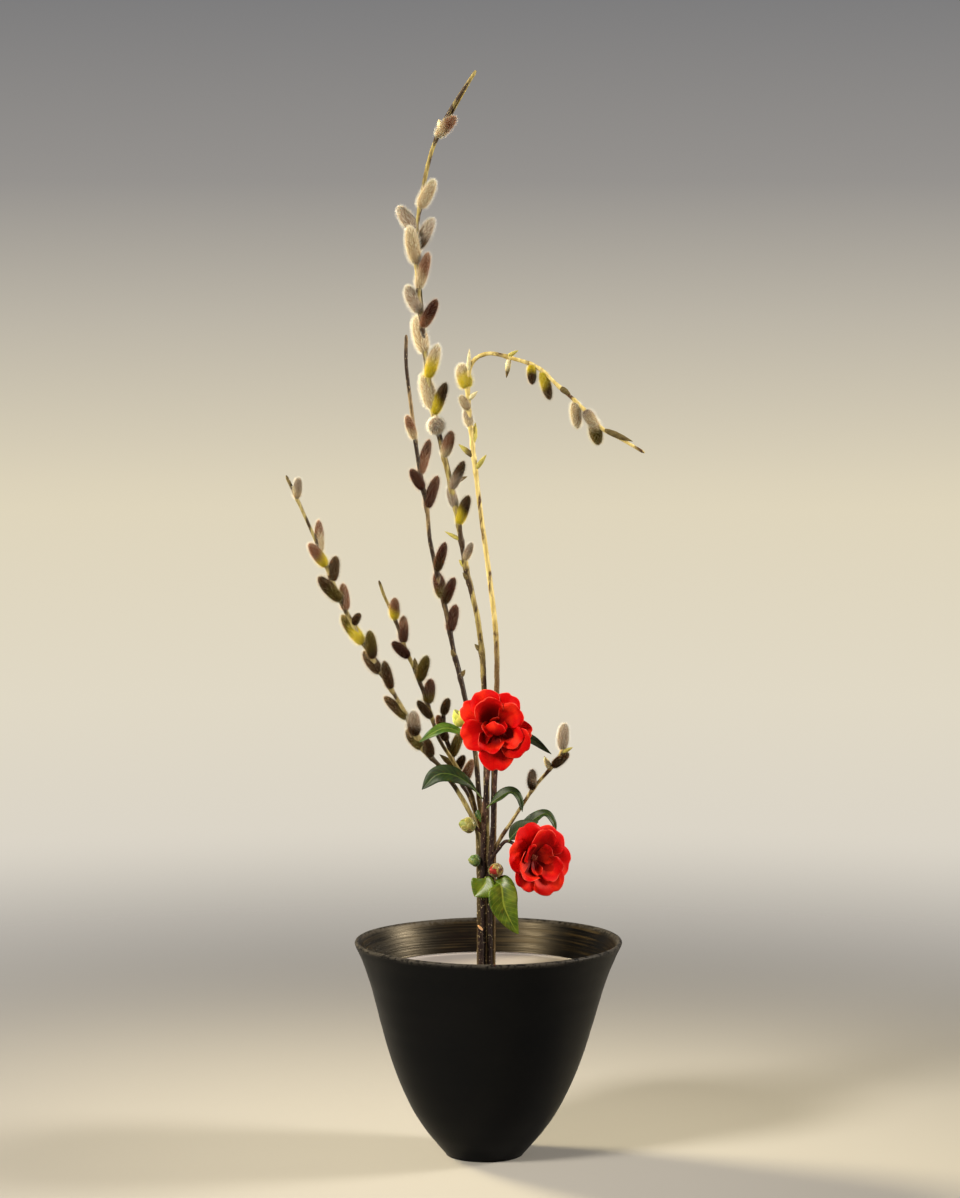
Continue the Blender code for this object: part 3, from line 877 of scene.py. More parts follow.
@dataclass
class PinHolder:
    """The kenzan: a lead plate with a field of brass pins."""

    radius_mm: float = 28.0
    thickness_mm: float = 8.0
    pin_mm: float = 12.0
    pitch_mm: float = 4.3
    sunk_mm: float = 0.2        # how deep a pin sits in the plate
    margin_mm: float = 3.0      # the plate's rim without pins

    def plate(self, base_mm: float) -> bpy.types.Object:
        """Casts the plate, with its edges eased.

        Args:
            base_mm: the height of its underside.

        Returns:
            The plate.
        """
        bm = bmesh.new()
        middle = Matrix.Translation((0, 0, (base_mm + self.thickness_mm / 2) * MM))
        bmesh.ops.create_cone(bm, cap_ends=True, segments=72, radius1=self.radius_mm * MM,
                              radius2=(self.radius_mm - 0.8) * MM, depth=self.thickness_mm * MM,
                              matrix=middle)
        sharp = [edge for edge in bm.edges if edge.calc_face_angle(0) > 1]
        bmesh.ops.bevel(bm, geom=sharp, offset=0.9 * MM, segments=3, profile=0.5, material=-1,
                        affect="EDGES")
        lead = Metal("lead", (0.15, 0.15, 0.16), (0.06, 0.06, 0.065), 0.55)
        return new_object(bm, "plate", [lead.material()])

    def pins(self, top_mm: float, stems: Sequence[tuple[Route, float]]) -> bpy.types.Object:
        """Sets the pins in staggered rows, leaving out each one that a stem's foot would cover.

        Args:
            top_mm: the height of the plate's upper face.
            stems: each stem's line and its radius in millimetres.

        Returns:
            All the pins as one object.
        """
        bm = bmesh.new()
        middle = (top_mm + self.pin_mm / 2 - self.sunk_mm) * MM
        count = int(self.radius_mm / self.pitch_mm) + 1
        feet = [(route.points[0].xy, radius * MM) for route, radius in stems]
        for row in range(-count, count + 1):
            for column in range(-count, count + 1):
                spot = Vector((column + 0.5 * (row % 2), row * 0.866)) * self.pitch_mm * MM
                if spot.length > (self.radius_mm - self.margin_mm) * MM:
                    continue
                if any((spot - foot).length < radius + 0.9 * MM for foot, radius in feet):
                    continue
                bmesh.ops.create_cone(bm, cap_ends=True, segments=6, radius1=0.6 * MM,
                                      radius2=0.08 * MM, depth=self.pin_mm * MM,
                                      matrix=Matrix.Translation((*spot, middle)))
        brass = Metal("brass", (0.6, 0.42, 0.14), (0.25, 0.17, 0.07), 0.35)
        return new_object(bm, "pins", [brass.material()])

    def build(self, vase: Vase, stems: Sequence[tuple[Route, float]]) -> bpy.types.Object:
        """Builds the pin holder on the vase's floor.

        Args:
            vase: which it stands in.
            stems: each stem's line and its radius in millimetres.

        Returns:
            The finished piece.
        """
        base = vase.floor_mm + 0.3
        parts = [self.plate(base), self.pins(base + self.thickness_mm, stems)]
        return seat(joined(parts, "kenzan"), "pin_holder", "pin_holder")


# ---------------------------------------------------------------- willow
class Tone(Enum):
    """Colour of a catkin's core, of its hairs' roots and of their tips: partly the catkins' own
    colours, partly painted light and shade.
    """

    # The pale tones partly paint light: catkins on the lit side were given the pale and silver
    # tones.
    SILVER = ((0.18, 0.125, 0.08), (0.54, 0.47, 0.36), (1.0, 0.96, 0.88))
    PALE = ((0.32, 0.23, 0.12), (0.78, 0.69, 0.48), (1.0, 0.97, 0.86))
    ROSE = ((0.11, 0.040, 0.018), (0.30, 0.15, 0.08), (0.95, 0.80, 0.62))
    # The dark tones are partly the catkins' own dark bracts and partly painted shade of catkins on
    # the shadow side.
    MAROON = ((0.020, 0.003, 0.001), (0.034, 0.006, 0.002), (0.60, 0.42, 0.30))
    DARK = ((0.020, 0.008, 0.001), (0.034, 0.016, 0.003), (0.56, 0.45, 0.28))
    OLIVE = ((0.042, 0.028, 0.002), (0.085, 0.060, 0.005), (0.68, 0.58, 0.28))
    # Painted light: this tone paints the yellow glow of light shining through the hair of a catkin's
    # lower part.
    GOLD_GLOW = ((0.42, 0.32, 0.01), (0.72, 0.58, 0.04), (1.0, 0.92, 0.50))
    BUD_DARK = ((0.030, 0.018, 0.008), (0.06, 0.04, 0.015), (0.22, 0.17, 0.07))
    BUD_GREEN = ((0.22, 0.19, 0.03), (0.36, 0.31, 0.06), (0.62, 0.54, 0.16))
    BUD_PALE = ((0.40, 0.34, 0.12), (0.60, 0.52, 0.26), (0.88, 0.80, 0.52))


@dataclass(frozen=True)
class Catkin:
    """One catkin or bud of a willow."""

    station: float          # millimetres along the stem
    lean: float             # degrees from upright towards +X
    length: float           # millimetres
    width: float
    low: Tone               # tone of its lower part
    high: Tone | None = None    # tone of its upper part, if another
    toward: float | None = None     # degrees by which it points to the viewer


@dataclass(frozen=True)
class Hair:
    """One kind of hair on a catkin."""

    spread: tuple[float, float]         # least and greatest angle to the core, in degrees
    length_mm: tuple[float, float]
    thick_mm: float
    tip: float                          # how far its end has the colour of the tips


class CatkinStock:
    """The few catkins that all others are copies of, at one nominal size."""

    LENGTH_MM = 30.0
    WIDTH_MM = 8.7
    HAIRS = 1800
    SILK = Hair((40, 68), (2.1, 3.1), 0.065, 1.0)
    DOWN = Hair((12, 28), (1.3, 2.0), 0.12, 0.1)
    VARIANTS = 3
    BENDS_MM = (0.9, -1.3, 0.4)         # how far each variant's tip leans over
    FULLNESS = 1.34         # how much its fur adds to a catkin's width
    BARE_WIDTH_MM = 6.0     # up to this width it is a bare bud

    def __init__(self) -> None:
        """Grows the hairy variants and one bare bud."""
        self.coat = CatkinCoat().material()
        self.hairy = [self.grow(variant, self.HAIRS) for variant in range(self.VARIANTS)]
        self.bare = self.grow_bud()

    def core_radius(self, share: float) -> float:
        """The core's outline.

        Args:
            share: of its length, held from 0 to 1.

        Returns:
            Its radius there in metres.
        """
        share = min(1.0, max(0.0, share))
        blunt = max(0.0, 1 - abs(1 - 2 * share ** 0.94) ** 2.3) ** 0.5
        return 0.42 * self.WIDTH_MM * MM * blunt * (1.03 - 0.12 * share)

    def grow(self, variant: int, hairs: int) -> bpy.types.Mesh:
        """Grows a core of small bracts and the hairs on it.

        Args:
            variant: seeds the scatter and the bend.
            hairs: how many hairs.

        Returns:
            A mesh on the origin, along +Z, whose attribute "along" is -1 on the core and runs
            from 0 to 1 on each hair.
        """
        scatter = np.random.default_rng(31 + variant)
        length = 0.94 * self.LENGTH_MM * MM
        bm = bmesh.new()
        along = bm.verts.layers.float.new("along")
        bmesh.ops.create_uvsphere(bm, u_segments=20, v_segments=22, radius=1)
        for vert in bm.verts:
            share = (vert.co.z + 1) / 2
            angle = math.atan2(vert.co.y, vert.co.x)
            bract = math.sin(5 * angle + 46 * share) * math.cos(3 * angle - 50 * share)
            reach = self.core_radius(share) * (1 + 0.07 * bract)
            vert.co = Vector((math.cos(angle) * reach, math.sin(angle) * reach, share * length))
            vert[along] = -1
        for index in range(hairs):
            share = (index + 0.5 + scatter.uniform(-0.4, 0.4)) / hairs
            angle = index * GOLDEN_ANGLE + scatter.uniform(-0.3, 0.3)
            reach = self.core_radius(share)
            slope = (self.core_radius(share + 0.01) - self.core_radius(share - 0.01)) \
                / (0.02 * length)
            out = Vector((math.cos(angle), math.sin(angle), 0))
            rise = Vector((out.x * slope, out.y * slope, 1)).normalized()
            face = Vector((out.x, out.y, -slope)).normalized()
            hair = self.DOWN if index % 2 else self.SILK
            spread = math.radians(scatter.uniform(*hair.spread))
            side = rise.cross(face)
            direction = (rise * math.cos(spread) + face * math.sin(spread)
                         + side * scatter.uniform(-0.2, 0.2)).normalized()
            size = scatter.uniform(*hair.length_mm) * MM
            root = out * reach * 0.93 + Vector((0, 0, share * length))
            placed = Matrix.Translation(root + direction * size / 2) @ turned_to(direction)
            thick = hair.thick_mm * scatter.uniform(0.8, 1.2) * MM
            made = bmesh.ops.create_cone(bm, cap_ends=True, segments=3, radius1=thick, radius2=0,
                                         depth=size, matrix=placed)["verts"]
            far = max(made, key=lambda vert: (vert.co - root).dot(direction))
            for vert in made:
                vert[along] = hair.tip if vert is far else 0.0
        bend = self.BENDS_MM[variant] * MM
        for vert in bm.verts:
            share = vert.co.z / length
            vert.co.x += bend * share * share
        mesh = bpy.data.meshes.new(f"catkin_{variant}")
        bm.to_mesh(mesh)
        bm.free()
        mesh.shade_smooth()
        return mesh

    def grow_bud(self) -> bpy.types.Mesh:
        """Grows a bare pointed bud of overlapping scales, at the same nominal size.

        Returns:
            A mesh like a catkin's, with its attribute "along" from its scales.
        """
        bm = bmesh.new()
        along = bm.verts.layers.float.new("along")
        bmesh.ops.create_uvsphere(bm, u_segments=16, v_segments=18, radius=1)
        for vert in bm.verts:
            share = min(1.0, max(0.0, (vert.co.z + 1) / 2))
            angle = math.atan2(vert.co.y, vert.co.x)
            scale = (share * 4 + angle / math.tau) % 1
            reach = 0.5 * self.WIDTH_MM * MM * math.sin(math.pi * share ** 0.7) ** 0.8
            reach *= 0.88 + 0.12 * scale
            vert.co = Vector((math.cos(angle) * reach, math.sin(angle) * reach,
                              share * self.LENGTH_MM * MM))
            vert[along] = 0.2 + 0.5 * scale
        mesh = bpy.data.meshes.new("bare_bud")
        bm.to_mesh(mesh)
        bm.free()
        mesh.shade_smooth()
        return mesh

    def coat_colours(self, mesh: bpy.types.Mesh, catkin: Catkin) -> None:
        """Writes the attribute "coat" from the catkin's tones.

        Args:
            mesh: a copy of a variant, which is changed.
            catkin: whose tones it gets.
        """
        count = len(mesh.vertices)
        along = np.empty(count, np.float32)
        mesh.attributes["along"].data.foreach_get("value", along)
        places = np.empty(count * 3, np.float32)
        mesh.vertices.foreach_get("co", places)
        share = places.reshape(-1, 3)[:, 2] / (self.LENGTH_MM * MM)
        colours = []
        for tone in (catkin.low, catkin.high or catkin.low):
            core, root, tip = (np.array(value) for value in tone.value)
            weight = np.clip(along, 0, 1)[:, None]
            colours.append(np.where(along[:, None] < 0, core, root + (tip - root) * weight))
        blotch = 0.28 * places.reshape(-1, 3)[:, 0] / (self.WIDTH_MM * MM)
        upper = np.clip((share + blotch - 0.22) / 0.42, 0, 1)[:, None]
        mixed = colours[0] + (colours[1] - colours[0]) * upper * upper * (3 - 2 * upper)
        layer = mesh.attributes.new("coat", "FLOAT_COLOR", "POINT")
        layer.data.foreach_set("color", np.c_[mixed, np.ones(count)].astype(np.float32).ravel())

    def pick(self, catkin: Catkin, index: int, base: Vector, turn: Matrix) -> bpy.types.Object:
        """A coloured copy of a variant on its base.

        Args:
            catkin: its size and tones.
            index: its number on the branch, which picks the variant and its turn.
            base: where it starts.
            turn: the rotation that takes +Z to its direction.

        Returns:
            The new object.
        """
        bare = catkin.width <= self.BARE_WIDTH_MM
        mesh = (self.bare if bare else self.hairy[index % self.VARIANTS]).copy()
        self.coat_colours(mesh, catkin)
        wide = catkin.width / self.WIDTH_MM * (1.1 if bare else self.FULLNESS)
        scale = Matrix.Diagonal((wide, wide, 1.05 * catkin.length / self.LENGTH_MM, 1))
        roll = Matrix.Rotation(index * 2.1, 4, "Z")
        mesh.transform(Matrix.Translation(base) @ turn @ scale @ roll)
        mesh.materials.append(self.coat)
        made = bpy.data.objects.new("catkin", mesh)
        bpy.context.scene.collection.objects.link(made)
        return made


@dataclass
class Willow:
    """One willow branch: its stem with swollen nodes, its catkins, buds and their husks."""

    name: str
    knots: Sequence[Point]
    foot_radius_mm: float
    tip_radius_mm: float
    bark: Bark
    catkins: Sequence[Catkin]
    tilts: tuple[float, ...] = (14, -16, 9, -11)
    sides: int = 12
    step_mm: float = 2.4
    bark_mm: float = 0.55       # thickness of the bark over the wood
    swelling: float = 0.3       # how much the stem swells under each catkin

    def route(self) -> Route:
        """The stem's centre line."""
        return Route(self.knots)

    def radius(self, distance: float, angle: float) -> float:
        """The stem's outline: tapering, swollen at its nodes and slightly rough.

        Args:
            distance: metres along it.
            angle: round it.

        Returns:
            Its radius there in metres.
        """
        along = distance / MM
        share = distance / self.line.length
        slim = self.foot_radius_mm + (self.tip_radius_mm - self.foot_radius_mm) * share
        node = sum(math.exp(-((along - catkin.station + 1) / 2.6) ** 2) for catkin in self.catkins)
        rough = noise.noise(Vector((along * 0.22, angle * 0.8, self.foot_radius_mm * 9)))
        grain = noise.noise(Vector((along * 0.9, math.cos(angle) * 2, math.sin(angle) * 2)))
        end = 1 - 0.55 * eased(self.line.length - 3 * MM, self.line.length, distance)
        uneven = 1 + self.swelling * min(node, 1) + 0.11 * rough + 0.09 * grain
        return (slim + self.bark_mm) * uneven * end * MM

    def pointing(self, catkin: Catkin, index: int) -> Vector:
        """Turns a catkin's lean and its tilt to the viewer into a direction.

        Args:
            catkin: the catkin.
            index: its number on the branch.

        Returns:
            The direction as a unit vector.
        """
        tilt = self.tilts[index % len(self.tilts)] if catkin.toward is None else catkin.toward
        tilt, lean = math.radians(tilt), math.radians(catkin.lean)
        return Vector((math.sin(lean) * math.cos(tilt), -math.sin(tilt),
                       math.cos(lean) * math.cos(tilt)))

    def husk(self, base: Vector, turn: Matrix, width_mm: float) -> bpy.types.Object:
        """Shapes the small brown scale that a catkin has burst from.

        Args:
            base: where the catkin starts.
            turn: the rotation that takes +Z to its direction.
            width_mm: how wide the catkin is.

        Returns:
            The scale.
        """
        bm = bmesh.new()
        reach = max(1.1, 0.27 * width_mm) * MM
        bmesh.ops.create_uvsphere(bm, u_segments=10, v_segments=8, radius=reach)
        for vert in bm.verts:
            vert.co.z = vert.co.z * 1.7 + reach * 1.1
            vert.co.x += 0.12 * vert.co.z
        bm.transform(Matrix.Translation(base) @ turn)
        return new_object(bm, "husk", [self.bark.material()])

    def build(self, stock: CatkinStock) -> bpy.types.Object:
        """Grows the branch.

        Args:
            stock: where its catkins are picked from.

        Returns:
            The finished piece.
        """
        self.line = self.route()
        parts = [new_object(tube(self.line, self.radius, self.sides, self.step_mm), self.name,
                            [self.bark.material()])]
        for index, catkin in enumerate(self.catkins):
            turn = turned_to(self.pointing(catkin, index))
            base = self.line.at(catkin.station * MM)
            parts.append(stock.pick(catkin, index, base, turn))
            parts.append(self.husk(base, turn, catkin.width))
        return seat(joined(parts, self.name + "_branch"), "willow", self.name)


OLIVE_BARK = Bark("bark_olive", (0.42, 0.34, 0.11), (0.20, 0.14, 0.045), (0.045, 0.026, 0.014), 0.5)
BROWN_BARK = Bark("bark_brown", (0.27, 0.19, 0.09), (0.10, 0.062, 0.030), (0.026, 0.015, 0.010),
                  0.72)
STRAW_BARK = Bark("bark_straw", (0.74, 0.60, 0.24), (0.48, 0.35, 0.10), (0.075, 0.034, 0.016), 0.3,
                  painted_shade_below=0.43)
PALE_TWIG_BARK = Bark("bark_pale_twig", (0.66, 0.54, 0.22), (0.36, 0.25, 0.09), (0.07, 0.035, 0.016),
                      0.42)
TWIG_BARK = Bark("bark_twig", (0.44, 0.36, 0.14), (0.22, 0.165, 0.06), (0.05, 0.032, 0.015), 0.5)


def willows() -> list[Willow]:
    """Lists the seven branches, with the points that they grow through and their catkins.

    Returns:
        The branches, tallest first.
    """
    foot = STEM_FOOT_MM
    t = Tone
    tall = Willow(
        "willow_tall",
        [(-1, -1, foot), (-1, -1, 180), (0, -1, 313), (-2, 4, 408), (-7, 6, 467), (-18, 8, 517),
         (-27, 7, 569), (-40, 6, 626), (-48, 6, 663), (-54, 5, 710), (-59, 4, 758),
         (-61, 2, 801), (-57, 1, 832), (-50, -1, 867), (-40, -3, 895), (-27, -4, 918),
         (-9, -6, 945)],
        2.5, 1.0, OLIVE_BARK,
        [Catkin(878, 40, 24, 8.7, t.PALE, t.ROSE), Catkin(886, -10, 8, 5, t.BUD_PALE),
         Catkin(815, 28, 28, 9.5, t.PALE), Catkin(796, -41, 26, 10.4, t.SILVER),
         Catkin(767, -12, 34, 10.4, t.PALE), Catkin(779, 29, 32, 9.5, t.DARK, t.SILVER),
         Catkin(745, 13, 33, 8.7, t.PALE, t.ROSE), Catkin(725, -30, 26, 10.4, t.SILVER),
         Catkin(712, 28, 28, 8.7, t.ROSE, t.MAROON), Catkin(690, -17, 34, 10.8, t.PALE),
         Catkin(668, 14, 31, 9.5, t.GOLD_GLOW, t.PALE), Catkin(641, -15, 32, 11.3, t.PALE),
         Catkin(636, 18, 30, 8.7, t.GOLD_GLOW, t.DARK), Catkin(622, -20, 16, 12, t.PALE, t.SILVER, 50),
         Catkin(598, 17, 24, 8.7, t.PALE, t.ROSE), Catkin(553, -18, 21, 7.8, t.SILVER),
         Catkin(569, 21, 28, 7.8, t.SILVER, t.DARK), Catkin(575, 70, 16, 5, t.BUD_DARK),
         Catkin(538, 16, 27, 8.7, t.GOLD_GLOW, t.DARK), Catkin(524, -62, 16, 3.5, t.BUD_GREEN),
         Catkin(506, 22, 18, 6.2, t.PALE, t.SILVER), Catkin(500, -43, 9, 4.3, t.BUD_GREEN),
         Catkin(488, -35, 9, 4.3, t.BUD_DARK), Catkin(425, -43, 9, 4.3, t.BUD_DARK)])
    second = Willow(
        "willow_second",
        [(-6, 7, foot), (-6, 7, 180), (-5, 8, 288), (-7, 10, 319), (-10, 12, 355),
         (-19, 16, 402), (-28, 20, 439), (-37, 21, 484), (-49, 22, 537), (-52, 23, 566),
         (-59, 23, 604), (-66, 24, 658), (-70, 25, 693), (-70, 26, 719)],
        2.2, 1.0, BROWN_BARK,
        [Catkin(615, -21, 23, 7, t.PALE, t.ROSE), Catkin(584, 13, 32, 7.8, t.ROSE, t.MAROON),
         Catkin(571, -30, 21, 8.2, t.MAROON), Catkin(554, 16, 30, 8.7, t.MAROON),
         Catkin(498, 14, 28, 7.8, t.DARK, t.MAROON), Catkin(474, -14, 24, 9.5, t.OLIVE, t.MAROON),
         Catkin(469, 18, 25, 8.2, t.DARK, t.MAROON), Catkin(444, 10, 24, 8.7, t.MAROON),
         Catkin(421, -26, 8, 4.3, t.BUD_DARK), Catkin(403, 35, 8, 4.3, t.BUD_DARK)])
    bent = Willow(
        "willow_bent",
        [(5, 3, foot), (5, 3, 180), (6, 3, 278), (7, 3, 357), (9, 2, 419), (8, 2, 461),
         (2, 1, 513), (-6, 1, 572), (-13, 0, 631), (-16, -1, 663), (-16, -2, 684),
         (-10, -3, 698), (3, -4, 703), (22, -6, 699), (44, -8, 691), (63, -11, 674),
         (80, -14, 659), (99, -17, 639), (117, -19, 629), (136, -22, 618)],
        2.6, 0.8, STRAW_BARK,
        [Catkin(669, 2, 21, 3.5, t.BUD_PALE), Catkin(656, -19, 22, 11.3, t.GOLD_GLOW, t.PALE),
         Catkin(637, -30, 15, 7, t.PALE), Catkin(622, -16, 18, 7, t.PALE, t.SILVER),
         Catkin(646, 48, 11, 4.3, t.BUD_PALE), Catkin(607, 8, 19, 6, t.BUD_GREEN),
         Catkin(585, 36, 16, 4.3, t.BUD_GREEN), Catkin(596, -50, 17, 5, t.BUD_DARK, t.BUD_GREEN),
         Catkin(712, 60, 11, 3.5, t.BUD_GREEN), Catkin(714, -172, 18, 4.5, t.BUD_PALE, t.BUD_DARK),
         Catkin(734, 178, 17, 7, t.GOLD_GLOW, t.DARK), Catkin(745, 166, 26, 8, t.GOLD_GLOW, t.DARK),
         Catkin(766, 124, 11, 5.2, t.BUD_DARK), Catkin(784, 178, 25, 8.7, t.PALE),
         Catkin(795, 145, 17, 9, t.SILVER, t.PALE), Catkin(805, 164, 23, 10, t.PALE, t.OLIVE),
         Catkin(818, 112, 27, 5.2, t.BUD_DARK)])
    left = Willow(
        "willow_left",
        [(-6, -5, foot), (-6, -5, 180), (-7, -5, 270), (-9, -6, 290), (-20, -8, 314),
         (-39, -12, 343), (-57, -16, 363), (-72, -18, 395), (-90, -21, 425), (-109, -23, 458),
         (-126, -26, 491), (-143, -28, 533), (-154, -30, 559), (-172, -34, 599)],
        2.2, 0.8, TWIG_BARK,
        [Catkin(602, 3, 19, 7, t.PALE, t.SILVER), Catkin(551, -6, 28, 7, t.PALE, t.ROSE),
         Catkin(538, -35, 25, 8.7, t.GOLD_GLOW, t.ROSE), Catkin(524, 4, 22, 8.7, t.DARK),
         Catkin(506, -43, 29, 9.5, t.OLIVE, t.DARK), Catkin(496, -6, 24, 7.8, t.ROSE),
         Catkin(482, 24, 12, 6.2, t.DARK), Catkin(463, -40, 31, 9.5, t.GOLD_GLOW, t.OLIVE),
         Catkin(448, -5, 26, 8.7, t.DARK, t.OLIVE), Catkin(434, -43, 24, 9.5, t.DARK),
         Catkin(417, -15, 26, 7.8, t.DARK), Catkin(387, -47, 28, 7.8, t.OLIVE, t.DARK),
         Catkin(371, -8, 23, 10.4, t.DARK, t.SILVER), Catkin(358, -45, 21, 9, t.OLIVE, t.DARK),
         Catkin(347, -12, 18, 7.8, t.DARK)])
    inner = Willow(
        "willow_inner",
        [(-6, 1, foot), (-6, 1, 180), (-6, 1, 270), (-9, 2, 300), (-15, 3, 323), (-29, 5, 347),
         (-42, 6, 368), (-51, 8, 396), (-61, 9, 423), (-71, 10, 446), (-80, 12, 471),
         (-89, 13, 491), (-94, 14, 505)],
        2.0, 0.8, OLIVE_BARK,
        [Catkin(468, -4, 20, 8, t.GOLD_GLOW, t.ROSE), Catkin(446, -2, 24, 8, t.MAROON, t.ROSE),
         Catkin(433, -46, 20, 8.2, t.MAROON), Catkin(419, -4, 12, 5.2, t.BUD_DARK),
         Catkin(410, 14, 25, 8.7, t.OLIVE), Catkin(389, 8, 22, 9, t.OLIVE, t.MAROON),
         Catkin(376, -42, 20, 7, t.DARK)])
    short = Willow(
        "willow_short",
        [(-4, 13, foot), (-4, 13, 180), (-4, 13, 268), (-8, 14, 294), (-16, 16, 316),
         (-26, 18, 333), (-31, 19, 351), (-36, 21, 368), (-38, 22, 388)],
        2.0, 1.0, BROWN_BARK,
        [Catkin(374, 12, 16, 7, t.DARK), Catkin(360, -30, 15, 7, t.DARK, t.ROSE),
         Catkin(351, -24, 16, 7, t.DARK), Catkin(336, 18, 25, 7.8, t.OLIVE),
         Catkin(322, 22, 18, 7, t.DARK), Catkin(310, 24, 24, 7.8, t.MAROON, t.ROSE),
         Catkin(328, -50, 16, 5.2, t.BUD_DARK)])
    right = Willow(
        "willow_right",
        [(6, -4, foot), (6, -4, 180), (6, -5, 250), (7, -7, 268), (13, -9, 283), (21, -11, 295),
         (33, -12, 314), (38, -14, 322), (47, -16, 334), (59, -18, 348), (65, -20, 358),
         (68, -22, 369)],
        1.6, 0.8, PALE_TWIG_BARK,
        [Catkin(316, -4, 19, 7.4, t.DARK, t.SILVER), Catkin(340, -23, 12, 5.2, t.BUD_PALE),
         Catkin(343, 50, 19, 7, t.DARK), Catkin(361, 2, 23, 8.7, t.SILVER),
         Catkin(358, 62, 11, 3.5, t.BUD_GREEN)])
    return [tall, second, bent, left, inner, short, right]


# ---------------------------------------------------------------- camellia wood
@dataclass
class Wood:
    """One run of camellia wood: a stem or a twig."""

    knots: Sequence[Point]
    foot_mm: float              # radius at its lower end
    tip_mm: float
    knot_spacing_mm: float = 31.0       # from one leaf scar to the next

    def __post_init__(self) -> None:
        """Draws its centre line."""
        self.line = Route(self.knots)

    def radius(self, distance: float, angle: float) -> float:
        """Its outline: tapering and knobbly, with a ring at each leaf scar.

        Args:
            distance: metres along it.
            angle: round it.

        Returns:
            Its radius there in metres.
        """
        along = distance / MM
        slim = self.foot_mm + (self.tip_mm - self.foot_mm) * distance / self.line.length
        knob = noise.noise(Vector((along * 0.11, angle * 0.5, self.foot_mm * 7)))
        rough = noise.noise(Vector((along * 0.55, math.cos(angle), math.sin(angle))))
        ring = math.exp(-((along % self.knot_spacing_mm - 15) / 1.3) ** 2)
        return slim * (1 + 0.14 * knob + 0.13 * rough + 0.16 * ring) * MM


@dataclass
class CamelliaStem:
    """A knobbly camellia stem with its side twigs."""

    name: str
    runs: Sequence[Wood]        # the stem first
    slant: float = 0.0          # angle of the cut at its top, in degrees
    sides: int = 14
    step_mm: float = 1.6
    pale: Plain = Plain("cut_wood", (0.62, 0.36, 0.16), (0.42, 0.20, 0.09))

    def cut(self, bm: bmesh.types.BMesh) -> None:
        """Cuts the stem's top at a slant and marks the cut as pale wood.

        Args:
            bm: the stem, which is changed.
        """
        line = self.runs[0].line
        lean = math.radians(self.slant)
        normal = Vector((math.sin(lean), -0.35, math.cos(lean))).normalized()
        cut = bmesh.ops.bisect_plane(bm, geom=[*bm.verts, *bm.edges, *bm.faces],
                                     plane_co=line.at(line.length - 3 * MM), plane_no=normal,
                                     clear_outer=True)["geom_cut"]
        rim = [item for item in cut if isinstance(item, bmesh.types.BMEdge)]
        for face in bmesh.ops.holes_fill(bm, edges=rim, sides=0)["faces"]:
            face.material_index = 1
            face.smooth = False

    def build(self, bark: bpy.types.Material) -> bpy.types.Object:
        """Grows the stem and its twigs as one piece.

        Args:
            bark: what it wears.

        Returns:
            The finished piece.
        """
        parts = []
        for index, wood in enumerate(self.runs):
            bm = tube(wood.line, wood.radius, self.sides, self.step_mm)
            if self.slant and index == 0:
                self.cut(bm)
            parts.append(new_object(bm, f"{self.name}_{index}", [bark, self.pale.material()]))
        return seat(joined(parts, self.name + "_wood"), "camellia_wood", self.name)


def camellia_stems() -> list[CamelliaStem]:
    """Lists the camellia wood.

    Returns:
        The two flowering stems and the short cut one.
    """
    foot = STEM_FOOT_MM
    upper = CamelliaStem("camellia_stem_upper", [
        Wood([(-3, -12, foot), (-3, -12, 180), (-3, -12, 265), (-2, -12, 300), (1, -12.5, 340),
              (6, -13, 370), (9.5, -16, 381.5), (9.35, -20.8, 382.2)], 2.7, 1.9),
        Wood([(2, -13, 347), (-8, -19, 362), (-15, -21.5, 371), (-19.8, -22.5, 381)], 1.1, 0.9),
        Wood([(-3, -12, 286), (-6, -13, 288.5), (-9.3, -14.2, 292)], 1.3, 1.1)])
    lower = CamelliaStem("camellia_stem_lower", [
        Wood([(3, -12, foot), (3, -12, 180), (3, -12, 255), (6, -10, 300), (8, -9, 345),
              (9, -9, 356)], 2.7, 1.7),
        Wood([(3, -12, 262), (9, -14, 271), (17, -16, 280), (26, -17.5, 276),
              (33, -20.2, 267.6), (35.8, -24.7, 267.3)], 1.7, 1.5),
        Wood([(3, -12, 251), (8, -13, 252), (10.8, -14.4, 253.7)], 1.3, 1.1)])
    stub = CamelliaStem("cut_stub", [
        Wood([(-1, -19, foot), (-2.5, -18.5, 90), (-5.5, -17.5, 207)], 2.6, 2.4)], slant=38)
    return [upper, lower, stub]


# ---------------------------------------------------------------- leaves
class LeafTone(Enum):
    """The greens that the leaves come in."""

    BRIGHT = LeafSkin("leaf_bright", (0.034, 0.072, 0.003), (0.12, 0.19, 0.006),
                      (0.32, 0.38, 0.045), 0.36, 0.55)
    FRESH = LeafSkin("leaf_fresh", (0.025, 0.075, 0.006), (0.10, 0.20, 0.015), (0.32, 0.40, 0.05),
                     0.38, 0.5)
    DEEP = LeafSkin("leaf_deep", (0.006, 0.017, 0.002), (0.018, 0.045, 0.004), (0.09, 0.13, 0.015),
                    0.50, 0.15)
    MID = LeafSkin("leaf_mid", (0.016, 0.045, 0.005), (0.05, 0.11, 0.010), (0.20, 0.26, 0.04),
                   0.40, 0.3)


UNDERSIDE = LeafSkin("leaf_underside", (0.09, 0.14, 0.035), (0.16, 0.22, 0.06), (0.30, 0.34, 0.13),
                     0.5, 0.3)


